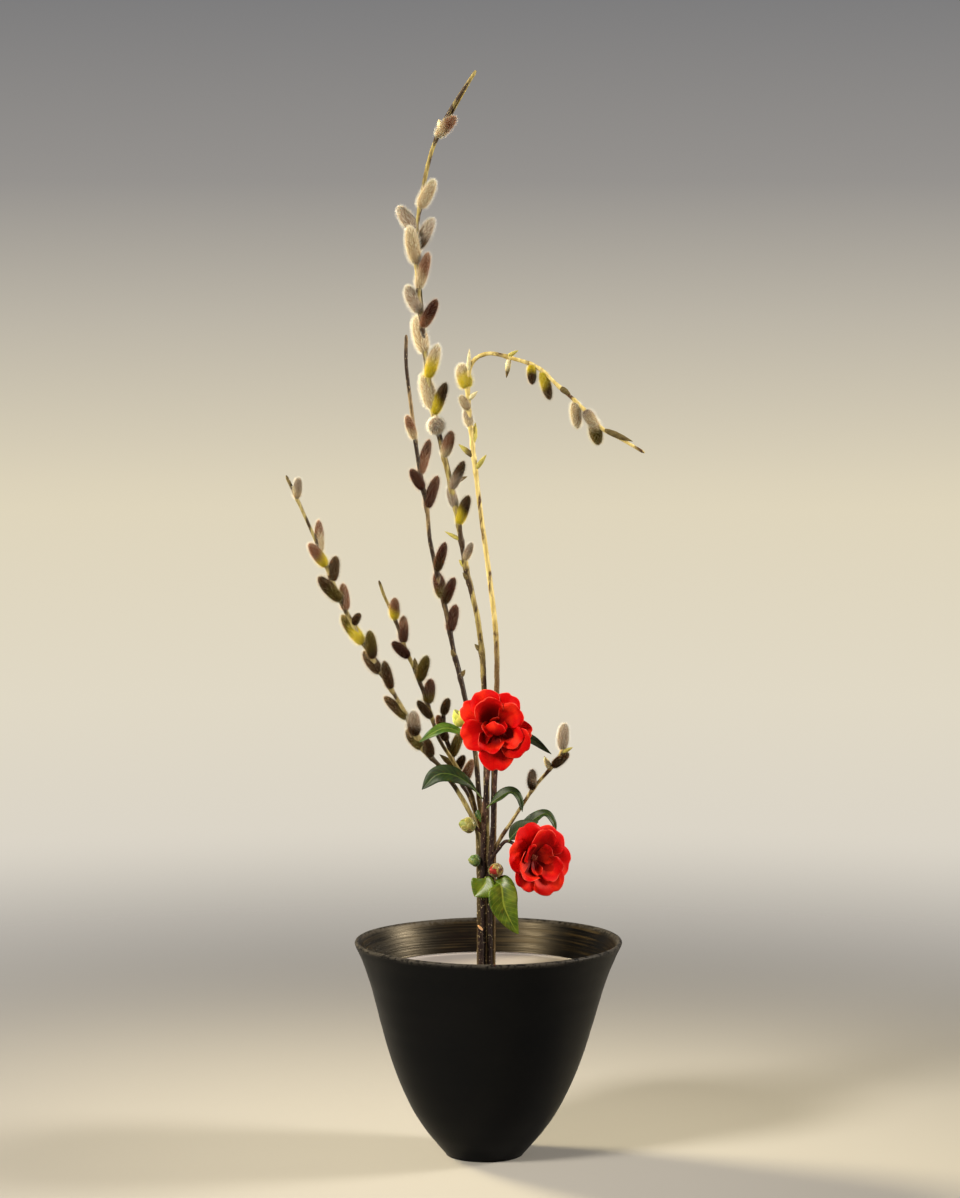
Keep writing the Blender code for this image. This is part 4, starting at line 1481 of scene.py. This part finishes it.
@dataclass
class Leaf:
    """A pointed, folded blade with fine teeth, on its midrib and stalk."""

    name: str
    rib: Sequence[Point]
    width_mm: float
    fold: float                 # degrees that each half rises from flat
    upward: Point               # where its upper face looks
    tone: LeafTone
    wave_mm: float = 0.7
    widest: float = 0.8         # under 1 puts the widest place nearer to the stalk
    stalk: float = 0.08         # share of the rib that is bare stalk
    teeth: int = 22
    columns: int = 14
    rows: int = 96
    thickness_mm: float = 0.45
    rib_sides: int = 10
    rib_step_mm: float = 1.5
    rib_sunk_mm: float = 0.35   # how far the rib lies under the blade's middle

    def half_width(self, along: float) -> float:
        """The blade's outline with its fine teeth.

        Args:
            along: share of the rib, from the stalk's foot to the tip.

        Returns:
            Half the blade's width there in millimetres.
        """
        blade = max(0.0, (along - self.stalk) / (1 - self.stalk))
        half = self.width_mm / 2 * max(0, math.sin(math.pi * blade ** self.widest)) ** 0.85
        tooth = (blade * self.teeth) % 1
        return max(0.25, half + 0.3 * (tooth - 0.5) * eased(0.05, 0.2, blade) * (1 - blade))

    def place(self, across: float, along: float) -> Vector:
        """Folds, curls and waves the blade about its rib.

        Args:
            across: share of the width, from 0 to 1.
            along: share of the blade's length.

        Returns:
            The blade's point there.
        """
        side_share = 2 * across - 1
        along = self.stalk + (1 - self.stalk) * along
        distance = along * self.line.length
        forward = self.line.direction(distance, 0.0015)
        side = forward.cross(Vector(self.upward)).normalized()
        up = side.cross(forward)
        fold = math.radians(self.fold)
        away = abs(side_share)
        half = self.half_width(along)
        curl = 0.16 * half * away ** 3
        phase = math.tau * (VEIN_ROWS * along - VEIN_SLANT * away)
        quilt = 0.14 * math.sin(phase) * away * (1 - away)
        wave = self.wave_mm * math.sin(9 * along + 2.2 * side_share) * away ** 2 \
            * math.sin(math.pi * along)
        rise = half * away * math.sin(fold) - curl + quilt + wave
        flat = side * side_share * math.cos(fold) * half
        return self.line.at(distance) + (flat + up * rise) * MM

    def rib_radius(self, distance: float, angle: float) -> float:
        """The outline of the stalk and midrib.

        Args:
            distance: metres along it.
            angle: round it.

        Returns:
            Its radius there in metres.
        """
        share = distance / self.line.length
        slim = 0.75 if share < self.stalk else 0.75 - 0.55 * eased(self.stalk, 0.75, share)
        return slim * MM * (1 + 0.06 * math.sin(3 * angle))

    def build(self) -> bpy.types.Object:
        """Shapes the blade on its rib and dresses both faces.

        Returns:
            The finished piece.
        """
        self.line = Route(self.rib, 1.0)
        skins = [self.tone.value.material(), UNDERSIDE.material()]
        blade = new_object(sheet(self.columns, self.rows, self.place), self.name, skins)
        add_thickness(blade, self.thickness_mm, underside=True)
        settle(blade)
        rib = tube(self.line, self.rib_radius, self.rib_sides, self.rib_step_mm)
        bmesh.ops.translate(rib, verts=rib.verts,
                            vec=Vector(self.upward).normalized() * -self.rib_sunk_mm * MM)
        stalk = new_object(rib, "rib", [UNDERSIDE.material()])
        return seat(joined([blade, stalk], self.name + "_blade"), "leaf", self.name)


def settle(piece: bpy.types.Object) -> None:
    """Applies a piece's modifiers to its mesh.

    Args:
        piece: the piece, which gets the new mesh.
    """
    graph = bpy.context.evaluated_depsgraph_get()
    mesh = bpy.data.meshes.new_from_object(piece.evaluated_get(graph))
    piece.modifiers.clear()
    piece.data = mesh


def leaves() -> list[Leaf]:
    """Lists the leaves.

    Returns:
        The nine leaves, from the top down on each stem.
    """
    return [
        Leaf("leaf_upper_left", [(-16.3, -23.4, 371.2), (-24, -26, 377), (-36, -26.5, 380),
                                 (-48, -27, 375), (-58, -28, 368)],
             11, 22, (0.1, -0.75, 0.65), LeafTone.FRESH, 0.9),
        Leaf("leaf_middle_left", [(-3.6, -13.6, 317), (-16, -18, 331), (-31, -20, 339),
                                  (-44, -21, 338), (-56, -22, 326)],
             16.5, 18, (-0.1, -0.85, 0.5), LeafTone.DEEP, 0.6, 1.35),
        Leaf("leaf_middle_right", [(0.2, -15, 309), (9, -18.5, 317), (21, -21, 323.5),
                                   (28, -23, 318), (31, -24, 307)],
             13, 28, (0.2, -0.5, 0.85), LeafTone.DEEP),
        Leaf("leaf_behind_upper", [(11.2, -10.2, 354), (22, -17, 366), (37, -20, 370),
                                   (56, -22, 357)],
             10, 16, (0.2, -0.8, 0.6), LeafTone.DEEP, 0.4, 0.95),
        Leaf("leaf_broad_lower", [(19.3, -18.2, 279.8), (22.5, -20.5, 285), (30, -22, 292),
                                  (45, -23.5, 298)],
             15, 20, (-0.3, -0.85, 0.4), LeafTone.DEEP),
        Leaf("leaf_arched_lower", [(27.5, -15.2, 277), (34, -15, 292), (44, -17, 301),
                                   (52, -19, 304), (58, -20.5, 297), (60, -21.5, 288)],
             12, 24, (0.2, -0.6, 0.75), LeafTone.DEEP),
        Leaf("leaf_low_left", [(-1.4, -14.6, 248), (0, -17, 247.5), (-2, -18.5, 242),
                               (-10.5, -20, 232)],
             24, 14, (-0.2, -0.95, 0.2), LeafTone.BRIGHT, 1.1, 0.85),
        Leaf("leaf_low_right", [(5.4, -13.3, 244.5), (10, -21, 244.5), (13, -26.5, 241),
                                (15, -29.5, 226), (21, -31.5, 212), (27.5, -32, 201)],
             27, 20, (0.1, -0.97, 0.15), LeafTone.BRIGHT, 1.3, 0.7),
        Leaf("leaf_small", [(-4.9, -13.2, 299), (-8, -16, 305), (-5, -18.5, 297)],
             5, 20, (-0.4, -0.8, 0.4), LeafTone.MID),
    ]


# ---------------------------------------------------------------- buds and calyxes
@dataclass(frozen=True)
class ScaledBody:
    """A plump body wrapped in overlapping cupped scales, along +Z from its base."""

    length_mm: float
    width_mm: float
    scales: int = 9
    cover: float = 78.0          # half the angle that each scale wraps, in degrees
    taper: float = 0.72          # under 1 puts the widest place below the middle
    open_share: float = 0.0      # how far from its tip the body stays open, for a calyx
    lift_mm: float = 0.35        # how far each scale's edge stands off
    thickness_mm: float = 0.3

    def body_radius(self, share: float) -> float:
        """Radius in millimetres at a share of the length."""
        share = min(1.0, max(0.0, share))
        return self.width_mm / 2 * math.sin(math.pi * share ** self.taper) ** 0.62

    def on_scale(self, index: int, across: float, along: float) -> Vector:
        """Lays a scale on the body: round-ended, its edge standing off a little.

        Args:
            index: the scale's number, from the base up.
            across: share of its width, from 0 to 1.
            along: share of its length.

        Returns:
            The scale's point there.
        """
        rank = index / max(1, self.scales - 1)
        low = 0.02 + 0.16 * rank
        high = min(1.0, 0.48 + 0.52 * rank) * (1 - self.open_share)
        side = 2 * across - 1
        top = low + (high - low) * (1 - 0.55 * abs(side) ** 2.2)
        share = low + (top - low) * along
        wrap = math.radians(self.cover * (1 - 0.25 * rank))
        angle = index * GOLDEN_ANGLE + wrap * side * math.sin(math.pi * (0.16 + 0.5 * along))
        stand = 0.12 + 0.5 * (1 - rank) + self.lift_mm * (along ** 4 + 0.5 * side ** 4)
        reach = self.body_radius(share) + stand
        return Vector((math.cos(angle) * reach, math.sin(angle) * reach,
                       share * self.length_mm)) * MM

    def build(self, name: str, skin: bpy.types.Material, inner: bpy.types.Material,
              placed: Matrix) -> bpy.types.Object:
        """Wraps the body.

        Args:
            name: the new object's name.
            skin: the scales' material.
            inner: the material of what they wrap.
            placed: puts the body on its base.

        Returns:
            The joined object.
        """
        bm = bmesh.new()
        bmesh.ops.create_uvsphere(bm, u_segments=24, v_segments=16, radius=1)
        for vert in bm.verts:
            share = (vert.co.z + 1) / 2 * (1 - self.open_share)
            angle = math.atan2(vert.co.y, vert.co.x)
            reach = self.body_radius(share) * 0.98
            vert.co = Vector((math.cos(angle) * reach, math.sin(angle) * reach,
                              share * self.length_mm)) * MM
        close_up(bm)
        parts = [new_object(bm, name, [inner])]
        for index in range(self.scales):
            part = new_object(sheet(10, 12, partial(self.on_scale, index)), "scale", [skin])
            add_thickness(part, self.thickness_mm)
            settle(part)
            parts.append(part)
        whole = joined(parts, name)
        whole.data.transform(placed)
        return whole


@dataclass
class Bud:
    """A camellia bud on its twig."""

    name: str
    base: Point
    direction: Point
    body: ScaledBody
    skin: ScaleSkin
    inner: Plain

    def build(self) -> bpy.types.Object:
        """Wraps the bud and sets it on its base.

        Returns:
            The finished piece.
        """
        placed = Matrix.Translation(Vector(self.base) * MM) @ turned_to(Vector(self.direction))
        bud = self.body.build(self.name + "_scales", self.skin.material(),
                              self.inner.material(), placed)
        return seat(bud, "bud", self.name)


def buds() -> list[Bud]:
    """Lists the buds.

    Returns:
        The four buds.
    """
    red_tip = Plain("bud_heart", (0.55, 0.05, 0.03), (0.35, 0.02, 0.02))
    green_tip = Plain("bud_green_heart", (0.30, 0.33, 0.08), (0.20, 0.24, 0.05))
    return [
        Bud("bud_pale", (-20.1, -22.7, 381.6), (-0.45, -0.2, 0.85), ScaledBody(17, 10.5, 8),
            ScaleSkin("scale_pale", (0.42, 0.46, 0.04), (0.92, 0.86, 0.16), (0.16, 0.26, 0.02),
                      0.05), green_tip),
        Bud("bud_left", (-9.9, -14.5, 292.5), (-0.93, -0.25, 0.25), ScaledBody(15, 12.2, 10),
            ScaleSkin("scale_olive", (0.17, 0.18, 0.03), (0.42, 0.38, 0.08), (0.10, 0.055, 0.018),
                      0.45), green_tip),
        Bud("bud_front", (11.6, -15.8, 254.4), (-0.55, -0.82, 0.12), ScaledBody(15, 11, 10),
            ScaleSkin("scale_mixed", (0.13, 0.05, 0.022), (0.45, 0.40, 0.10), (0.10, 0.022, 0.014),
                      0.6), red_tip),
        Bud("bud_folded", (-5.6, -12.8, 262), (-0.95, -0.25, 0.15), ScaledBody(11, 9, 6, 84),
            ScaleSkin("scale_green", (0.05, 0.11, 0.02), (0.16, 0.25, 0.05), (0.03, 0.06, 0.012),
                      0.3), green_tip),
    ]


# ---------------------------------------------------------------- flowers
@dataclass(frozen=True)
class Petal:
    """One petal, from the flower's axis outwards."""

    azimuth: float              # degrees round the face, from the viewer's right
    reach: float                # millimetres from the axis to its tip
    half_width: float           # millimetres
    rise: float                 # angle to the axis at its foot, in degrees
    fall: float                 # angle to the axis near its tip
    curl: float = 20.0          # how far its last part rolls back, in degrees
    cup: float = 26.0           # radius of its hollow across, in millimetres
    start: float = 4.0          # its foot's distance from the axis, in millimetres
    lift: float = 0.6           # its foot's height on the calyx, in millimetres
    lap: float = 0.07           # how far one side lies over its neighbour
    bend: float = 0.8           # over 1 keeps it flat first and turns it up late, as a cup
    flare: float = 0.75         # how far its hollow opens out towards its tip
    notch: float = 0.03         # how deep its tip is notched, as a share of its length
    deep: bool = False          # painted shade: deep red nearly to its rim, for petals that lie in shade


@dataclass
class Flower:
    """A camellia bloom: calyx, stamens and petals round an axis."""

    name: str
    seat_at: Point
    faces: Point
    petals: Sequence[Petal]
    seed: float
    stamens: int = 46
    stamen_mm: float = 4.0
    filament_mm: float = 0.17       # radius
    anther_mm: float = 0.4          # radius
    columns: int = 22
    rows: int = 28
    thickness_mm: float = 0.42

    def frame(self) -> Matrix:
        """Places the bloom.

        Returns:
            The matrix that puts +Z out of the face, +Y up it and +X to its right.
        """
        axis = Vector(self.faces).normalized()
        right = Vector((0, 0, 1)).cross(axis).normalized()
        turn = Matrix((right, axis.cross(right), axis)).transposed().to_4x4()
        return Matrix.Translation(Vector(self.seat_at) * MM) @ turn

    def spine(self, petal: Petal) -> list[tuple[float, float, float]]:
        """A petal's middle line.

        Args:
            petal: whose line it is.

        Returns:
            Distance from the axis, height and angle to the axis, at equal steps.
        """
        steps = 60
        angles = []
        for step in range(steps + 1):
            share = step / steps
            angle = petal.rise + (petal.fall - petal.rise) * share ** petal.bend
            angles.append(math.radians(angle + petal.curl * eased(0.72, 1.05, share)))
        out = [0.0]
        up = [0.0]
        for angle in angles[:-1]:
            out.append(out[-1] + math.sin(angle) / steps)
            up.append(up[-1] + math.cos(angle) / steps)
        length = (petal.reach - petal.start) / max(max(out), 0.2)
        return [(petal.start + a * length, petal.lift + b * length, angle)
                for a, b, angle in zip(out, up, angles)]

    def on_petal(self, petal: Petal, spine: Sequence[tuple[float, float, float]], shift: float,
                 across: float, along: float) -> Vector:
        """Shapes one petal: fan-shaped, cupped, softly ruffled and lapped over its neighbour.

        Args:
            petal: the petal.
            spine: its middle line.
            shift: makes its ruffles its own.
            across: share of its width, from 0 to 1.
            along: share of its length.

        Returns:
            The petal's point there.
        """
        last = len(spine) - 1
        side = 2 * across - 1
        tip = 1 - 0.35 * abs(side) ** 2.8 - petal.notch * math.exp(-(side / 0.16) ** 2)
        tip += 0.035 * noise.noise(Vector((side * 2.4, shift, 0)))
        share = along * tip
        spot = share * last
        low = min(int(spot), last - 1)
        part = spot - low
        a, b = spine[low], spine[low + 1]
        out, up, angle = (a[i] + (b[i] - a[i]) * part for i in range(3))
        half = petal.half_width * (0.26 + 0.74 * eased(-0.05, 0.72, share))
        arc = side * half / petal.cup
        hollow = petal.cup * (1 - math.cos(arc)) * (1 - petal.flare * eased(0.72, 1.0, along))
        edge = abs(side) ** 2 * eased(0.25, 1, along)
        ruffle = 0.9 * noise.noise(Vector((side * 1.9, along * 2.2, shift))) * eased(0, 1, along)
        ruffle += 0.7 * math.sin(5.2 * side + shift) * edge * along
        crease = -0.35 * math.exp(-(side / 0.12) ** 2) * math.sin(math.pi * along)
        rise = hollow + ruffle + crease + petal.lap * half * side * (0.4 + 0.6 * along)
        return Vector((out - rise * math.cos(angle), petal.cup * math.sin(arc),
                       up + rise * math.sin(angle))) * MM

    def build_petals(self, skin: bpy.types.Material, deep: bpy.types.Material) -> None:
        """Shapes every petal as a piece of its own.

        Args:
            skin: what most petals wear.
            deep: what the petals painted deep red as shade wear.
        """
        for index, petal in enumerate(self.petals):
            shape = partial(self.on_petal, petal, self.spine(petal), self.seed + index * 3.7)
            bm = sheet(self.columns, self.rows, shape)
            bm.transform(self.frame() @ Matrix.Rotation(math.radians(petal.azimuth), 4, "Z"))
            bmesh.ops.recalc_face_normals(bm, faces=bm.faces)
            node = f"{self.name}_petal_{index + 1:02d}"
            piece = new_object(bm, node.replace("flower", "bloom"), [deep if petal.deep else skin])
            add_thickness(piece, self.thickness_mm)
            seat(piece, "petal", node)

    def build_calyx(self, skin: bpy.types.Material, inner: bpy.types.Material) -> None:
        """Wraps the calyx in its sepals.

        Args:
            skin: what the sepals wear.
            inner: what lies under them.
        """
        sepals = ScaledBody(15, 15.5, 7, 62, 1.0, open_share=0.5, lift_mm=0.3)
        placed = self.frame() @ Matrix.Translation((0, 0, -8.3 * MM))
        calyx = sepals.build(self.name + "_sepals", skin, inner, placed)
        seat(calyx, "bud", self.name + "_calyx")

    def build_stamens(self, filament: bpy.types.Material, pollen: bpy.types.Material) -> None:
        """Grows the ring of filaments, joined low down, each with its anther.

        Args:
            filament: what the filaments wear.
            pollen: what the anthers wear.
        """
        scatter = np.random.default_rng(7)
        parts = []
        for index in range(self.stamens):
            angle = index * GOLDEN_ANGLE
            ring = math.sqrt((index + 0.5) / self.stamens)
            foot, head = 0.5 + 1.2 * ring, 0.6 + 2.0 * ring
            height = self.stamen_mm - 1.6 * ring + scatter.uniform(-0.7, 0.7)
            across = Vector((math.cos(angle), math.sin(angle), 0))
            knots = [tuple(across * foot + Vector((0, 0, 0.4))),
                     tuple(across * (foot + 0.25) + Vector((0, 0, height * 0.5))),
                     tuple(across * head + Vector((0, 0, height)))]
            line = Route(knots, 1.5)
            thin = tube(line, lambda distance, angle: self.filament_mm * MM, 5, 2.0)
            parts.append(new_object(thin, "filament", [filament]))
            bm = bmesh.new()
            bmesh.ops.create_uvsphere(bm, u_segments=6, v_segments=5, radius=self.anther_mm * MM)
            bmesh.ops.scale(bm, verts=bm.verts, vec=(0.75, 0.75, 1.5))
            tilt = Matrix.Rotation(scatter.uniform(0.2, 1.2), 4, across.cross((0, 0, 1)))
            bm.transform(Matrix.Translation(Vector(knots[2]) * MM) @ tilt)
            parts.append(new_object(bm, "anther", [pollen]))
        whole = joined(parts, self.name + "_anthers")
        whole.data.transform(self.frame())
        seat(whole, "stamens", self.name + "_stamens")


def flowers() -> list[Flower]:
    """Lists the two blooms.

    Returns:
        The upper and the lower bloom, each with its outer petals first.
    """
    upper = Flower(
        "upper_flower", (9.0, -29.0, 383.0), (-0.04, -0.99, 0.1),
        [Petal(118, 33, 15, 62, 92, 14, 30, 3.2, 0.2, 0.07),
         Petal(64, 29.5, 13.5, 60, 90, 18, 28, 3.2, 0.3, -0.07),
         Petal(-12, 31.5, 9.5, 66, 96, 10, 24, 3.2, 0.1, 0.05),
         Petal(-42, 34.5, 15.5, 60, 84, 24, 30, 3.2, 1.2, 0.08, deep=True),
         Petal(-90, 39.5, 16.5, 66, 92, 12, 34, 3.2, 0.2, -0.05, deep=True),
         Petal(204, 32.5, 15.5, 60, 86, 20, 30, 3.2, 0.9, 0.08),
         Petal(152, 35, 12, 66, 94, 12, 26, 3.2, 0.1, -0.05),
         Petal(118, 25, 17, 56, 38, 34, 14, 2.4, 1.2, 0.04, 1.0, 0.5, deep=True),
         Petal(34, 25, 14, 50, 66, 24, 17, 2.4, 1.1, 0.16),
         Petal(-110, 24.5, 17, 88, -14, 96, 11.5, 2.2, 1.6, 0.0, 1.5, 0.1, deep=True),
         Petal(204, 12.5, 8, 56, 28, 30, 14, 2.4, 1.4, 0.05, deep=True),
         Petal(-38, 26, 13, 74, 44, 52, 14, 2.4, 1.5, 0.06, 1.5, 0.4),
         Petal(120, 7, 5.5, 56, 40, 0, 14, 1.2, 1.6, 0.0, 1.0, 0.3, deep=True),
         Petal(-8, 9.5, 5.5, 72, -30, 80, 5, 1.2, 2.0, 0.0, 1.1, 0.2),
         Petal(-104, 8.6, 12, 80, -112, 0, 10, 1.2, 1.9, 0.0, 1.0, 0.2, deep=True)],
        seed=1.3)
    lower = Flower(
        "lower_flower", (40.2, -31.8, 268.0), (0.52, -0.85, 0.08),
        [Petal(116, 32, 17, 58, 86, 16, 30, 3.2, 0.2, 0.07),
         Petal(48, 31, 17, 58, 84, 18, 28, 3.2, 0.4, -0.06),
         Petal(-12, 34, 16, 60, 88, 16, 28, 3.2, 0.3, 0.06),
         Petal(-66, 34.5, 17.5, 58, 84, 20, 28, 3.2, 0.5, 0.07),
         Petal(-126, 31, 15.5, 60, 84, 14, 28, 3.2, 0.2, -0.06, deep=True),
         Petal(172, 31.5, 16.5, 56, 80, 18, 26, 3.2, 0.6, 0.07),
         Petal(78, 25.5, 17.5, 66, 44, 40, 19, 2.4, 1.3, 0.28, 1.2, 0.3),
         Petal(-40, 25.5, 14, 72, 46, 44, 15, 2.4, 1.2, 0.05, 1.4, 0.4),
         Petal(-152, 24.5, 20, 88, -10, 90, 14, 2.2, 1.6, 0.0, 1.6, 0.1, deep=True),
         Petal(150, 15, 10, 60, 36, 24, 14, 2.4, 1.3, -0.06, deep=True),
         Petal(12, 16, 10, 66, 66, 0, 22, 1.6, 1.7, 0.0, 1.0, 0.5),
         Petal(-98, 15, 6, 84, 20, 20, 5, 1.2, 1.9, 0.3, 1.2, 0.2, deep=True)],
        seed=5.1)
    return [upper, lower]


# ---------------------------------------------------------------- studio
@dataclass(frozen=True)
class Lamp:
    """A soft square light that faces the arrangement."""

    name: str
    at: Point
    watts: float
    colour: Colour
    size: float = 0.6
    aim: Point = (0, 0, 0.6)
    spread: float = 75          # degrees
    mirrored: bool = True       # whether glossy surfaces show it

    def hang(self) -> None:
        """Hangs the light."""
        lamp = bpy.data.lights.new(self.name, "AREA")
        lamp.size = self.size
        lamp.energy = self.watts
        lamp.color = self.colour
        lamp.spread = math.radians(self.spread)
        made = bpy.data.objects.new(self.name, lamp)
        made.location = self.at
        made.visible_glossy = self.mirrored
        ray = Vector(self.aim) - Vector(self.at)
        made.rotation_euler = ray.to_track_quat("-Z", "Y").to_euler()
        bpy.context.scene.collection.objects.link(made)


@dataclass
class Studio:
    """Plain pale floor and soft lights, with the camera in front."""

    # colours of the air from straight down, at 0, to straight up, at 1
    AIR: ClassVar[Sequence[tuple[float, Colour]]] = (
        (0.0, (0.62, 0.58, 0.52)), (0.41, (0.68, 0.64, 0.58)), (0.445, (0.75, 0.69, 0.56)),
        (0.474, (0.74, 0.665, 0.50)), (0.50, (0.50, 0.46, 0.385)), (0.52, (0.30, 0.285, 0.27)),
        (0.55, (0.19, 0.19, 0.195)), (1.0, (0.20, 0.20, 0.21)))
    LAMPS: ClassVar[Sequence[Lamp]] = (
        Lamp("key", (-1.8, -1.7, 1.9), 19, (1.0, 0.93, 0.80), 0.7),
        Lamp("left_rim", (-1.7, 1.2, 1.3), 15, (1.0, 0.87, 0.55), aim=(0, 0, 0.68), spread=50,
             mirrored=False),
        Lamp("right_rim", (2.1, 0.1, 1.35), 8, (1.0, 0.93, 0.80), aim=(0, 0, 0.7), spread=50))

    floor_colour: Colour = (0.48, 0.457, 0.425)
    floor_radius: float = 3.0
    floor_fades: tuple[float, float] = (0.35, 2.0)      # from the middle, in metres
    air_light: float = 0.60         # share of the air's brightness that lights the object
    camera_at: Point = (-0.0057, -3.0, 0.734)
    camera_dips: float = 4.65
    lens_mm: float = 104.0

    def lay_floor(self) -> None:
        """A pale floor that thins out into the pale air around it."""
        bm = bmesh.new()
        bmesh.ops.create_circle(bm, cap_ends=True, segments=96, radius=self.floor_radius)
        recipe = Recipe("floor", roughness=0.8)
        recipe.shader.inputs["Base Color"].default_value = (*self.floor_colour, 1)
        place = recipe.place()
        away = recipe.node("ShaderNodeVectorMath", {0: place}, operation="LENGTH").outputs["Value"]
        clear = recipe.node("ShaderNodeBsdfTransparent", {})
        mixed = recipe.node("ShaderNodeMixShader", {0: recipe.within(away, *self.floor_fades),
                                                    1: recipe.shader.outputs[0],
                                                    2: clear.outputs[0]})
        output = recipe.tree.nodes["Material Output"]
        recipe.tree.links.new(mixed.outputs[0], output.inputs["Surface"])
        new_object(bm, "floor", [recipe.material])

    def fill_air(self) -> None:
        """Soft light from all round: warm and pale low down, greyer and dimmer above."""
        world = bpy.data.worlds.new("air")
        bpy.context.scene.world = world
        world.use_nodes = True
        nodes, links = world.node_tree.nodes, world.node_tree.links
        direction = nodes.new("ShaderNodeTexCoord").outputs["Generated"]
        split = nodes.new("ShaderNodeSeparateXYZ")
        links.new(direction, split.inputs[0])
        share = nodes.new("ShaderNodeMapRange")
        links.new(split.outputs["Z"], share.inputs["Value"])
        share.inputs["From Min"].default_value = -1
        ramp = nodes.new("ShaderNodeValToRGB")
        links.new(share.outputs[0], ramp.inputs[0])
        while len(ramp.color_ramp.elements) < len(self.AIR):
            ramp.color_ramp.elements.new(0.5)
        for element, (position, colour) in zip(ramp.color_ramp.elements, self.AIR):
            element.position = position
            element.color = (*colour, 1)
        links.new(ramp.outputs[0], nodes["Background"].inputs["Color"])
        strength = nodes.new("ShaderNodeMapRange")
        strength.inputs["To Min"].default_value = self.air_light
        links.new(nodes.new("ShaderNodeLightPath").outputs["Is Camera Ray"],
                  strength.inputs["Value"])
        links.new(strength.outputs[0], nodes["Background"].inputs["Strength"])

    def set_camera(self) -> None:
        """Sets the camera in front, a little above the rim, looking slightly down."""
        lens = bpy.data.cameras.new("camera")
        lens.lens = self.lens_mm
        lens.sensor_width = 36
        lens.clip_start, lens.clip_end = 0.1, 60
        camera = bpy.data.objects.new("camera", lens)
        camera.location = self.camera_at
        camera.rotation_euler = (math.radians(90 - self.camera_dips), 0, 0)
        bpy.context.scene.collection.objects.link(camera)
        bpy.context.scene.camera = camera

    def build(self) -> None:
        """Sets up floor, light and camera."""
        self.lay_floor()
        self.fill_air()
        for lamp in self.LAMPS:
            lamp.hang()
        self.set_camera()
        bpy.context.scene.view_settings.view_transform = "Standard"


def main() -> None:
    """Builds every sub-assembly in order."""
    logging.basicConfig(level=logging.INFO, format="%(name)s: %(message)s")
    Studio().build()
    branches = willows()
    stems = camellia_stems()
    feet = [(branch.route(), branch.foot_radius_mm) for branch in branches]
    feet += [(stem.runs[0].line, stem.runs[0].foot_mm) for stem in stems]
    vase = Vase()
    vase.build()
    Water().build(vase, feet)
    PinHolder().build(vase, feet)
    stock = CatkinStock()
    for branch in branches:
        branch.build(stock)
    bark = Bark("camellia_bark", (0.13, 0.068, 0.045), (0.055, 0.028, 0.020),
                (0.018, 0.010, 0.009), 0.6, 0.7).material()
    for stem in stems:
        stem.build(bark)
    for leaf in leaves():
        leaf.build()
    for bud in buds():
        bud.build()
    petal_skin = PetalSkin().material()
    # Painted shade: a petal finish deep red nearly to its rim, for the petals that lie in shade.
    deep_petal = PetalSkin(name="deep_petal", deepest=0.45, clear=0.90).material()
    sepal_skin = ScaleSkin("sepal", (0.10, 0.13, 0.03), (0.26, 0.26, 0.07), (0.10, 0.055, 0.02),
                           0.4).material()
    sepal_inner = Plain("sepal_heart", (0.22, 0.20, 0.06), (0.15, 0.13, 0.04)).material()
    filament = Plain("filament", (0.50, 0.08, 0.05), (0.34, 0.04, 0.02)).material()
    pollen = Plain("pollen", (0.50, 0.12, 0.05), (0.30, 0.03, 0.015)).material()
    for flower in flowers():
        flower.build_calyx(sepal_skin, sepal_inner)
        flower.build_stamens(filament, pollen)
        flower.build_petals(petal_skin, deep_petal)


if __name__ == "__main__":
    main()
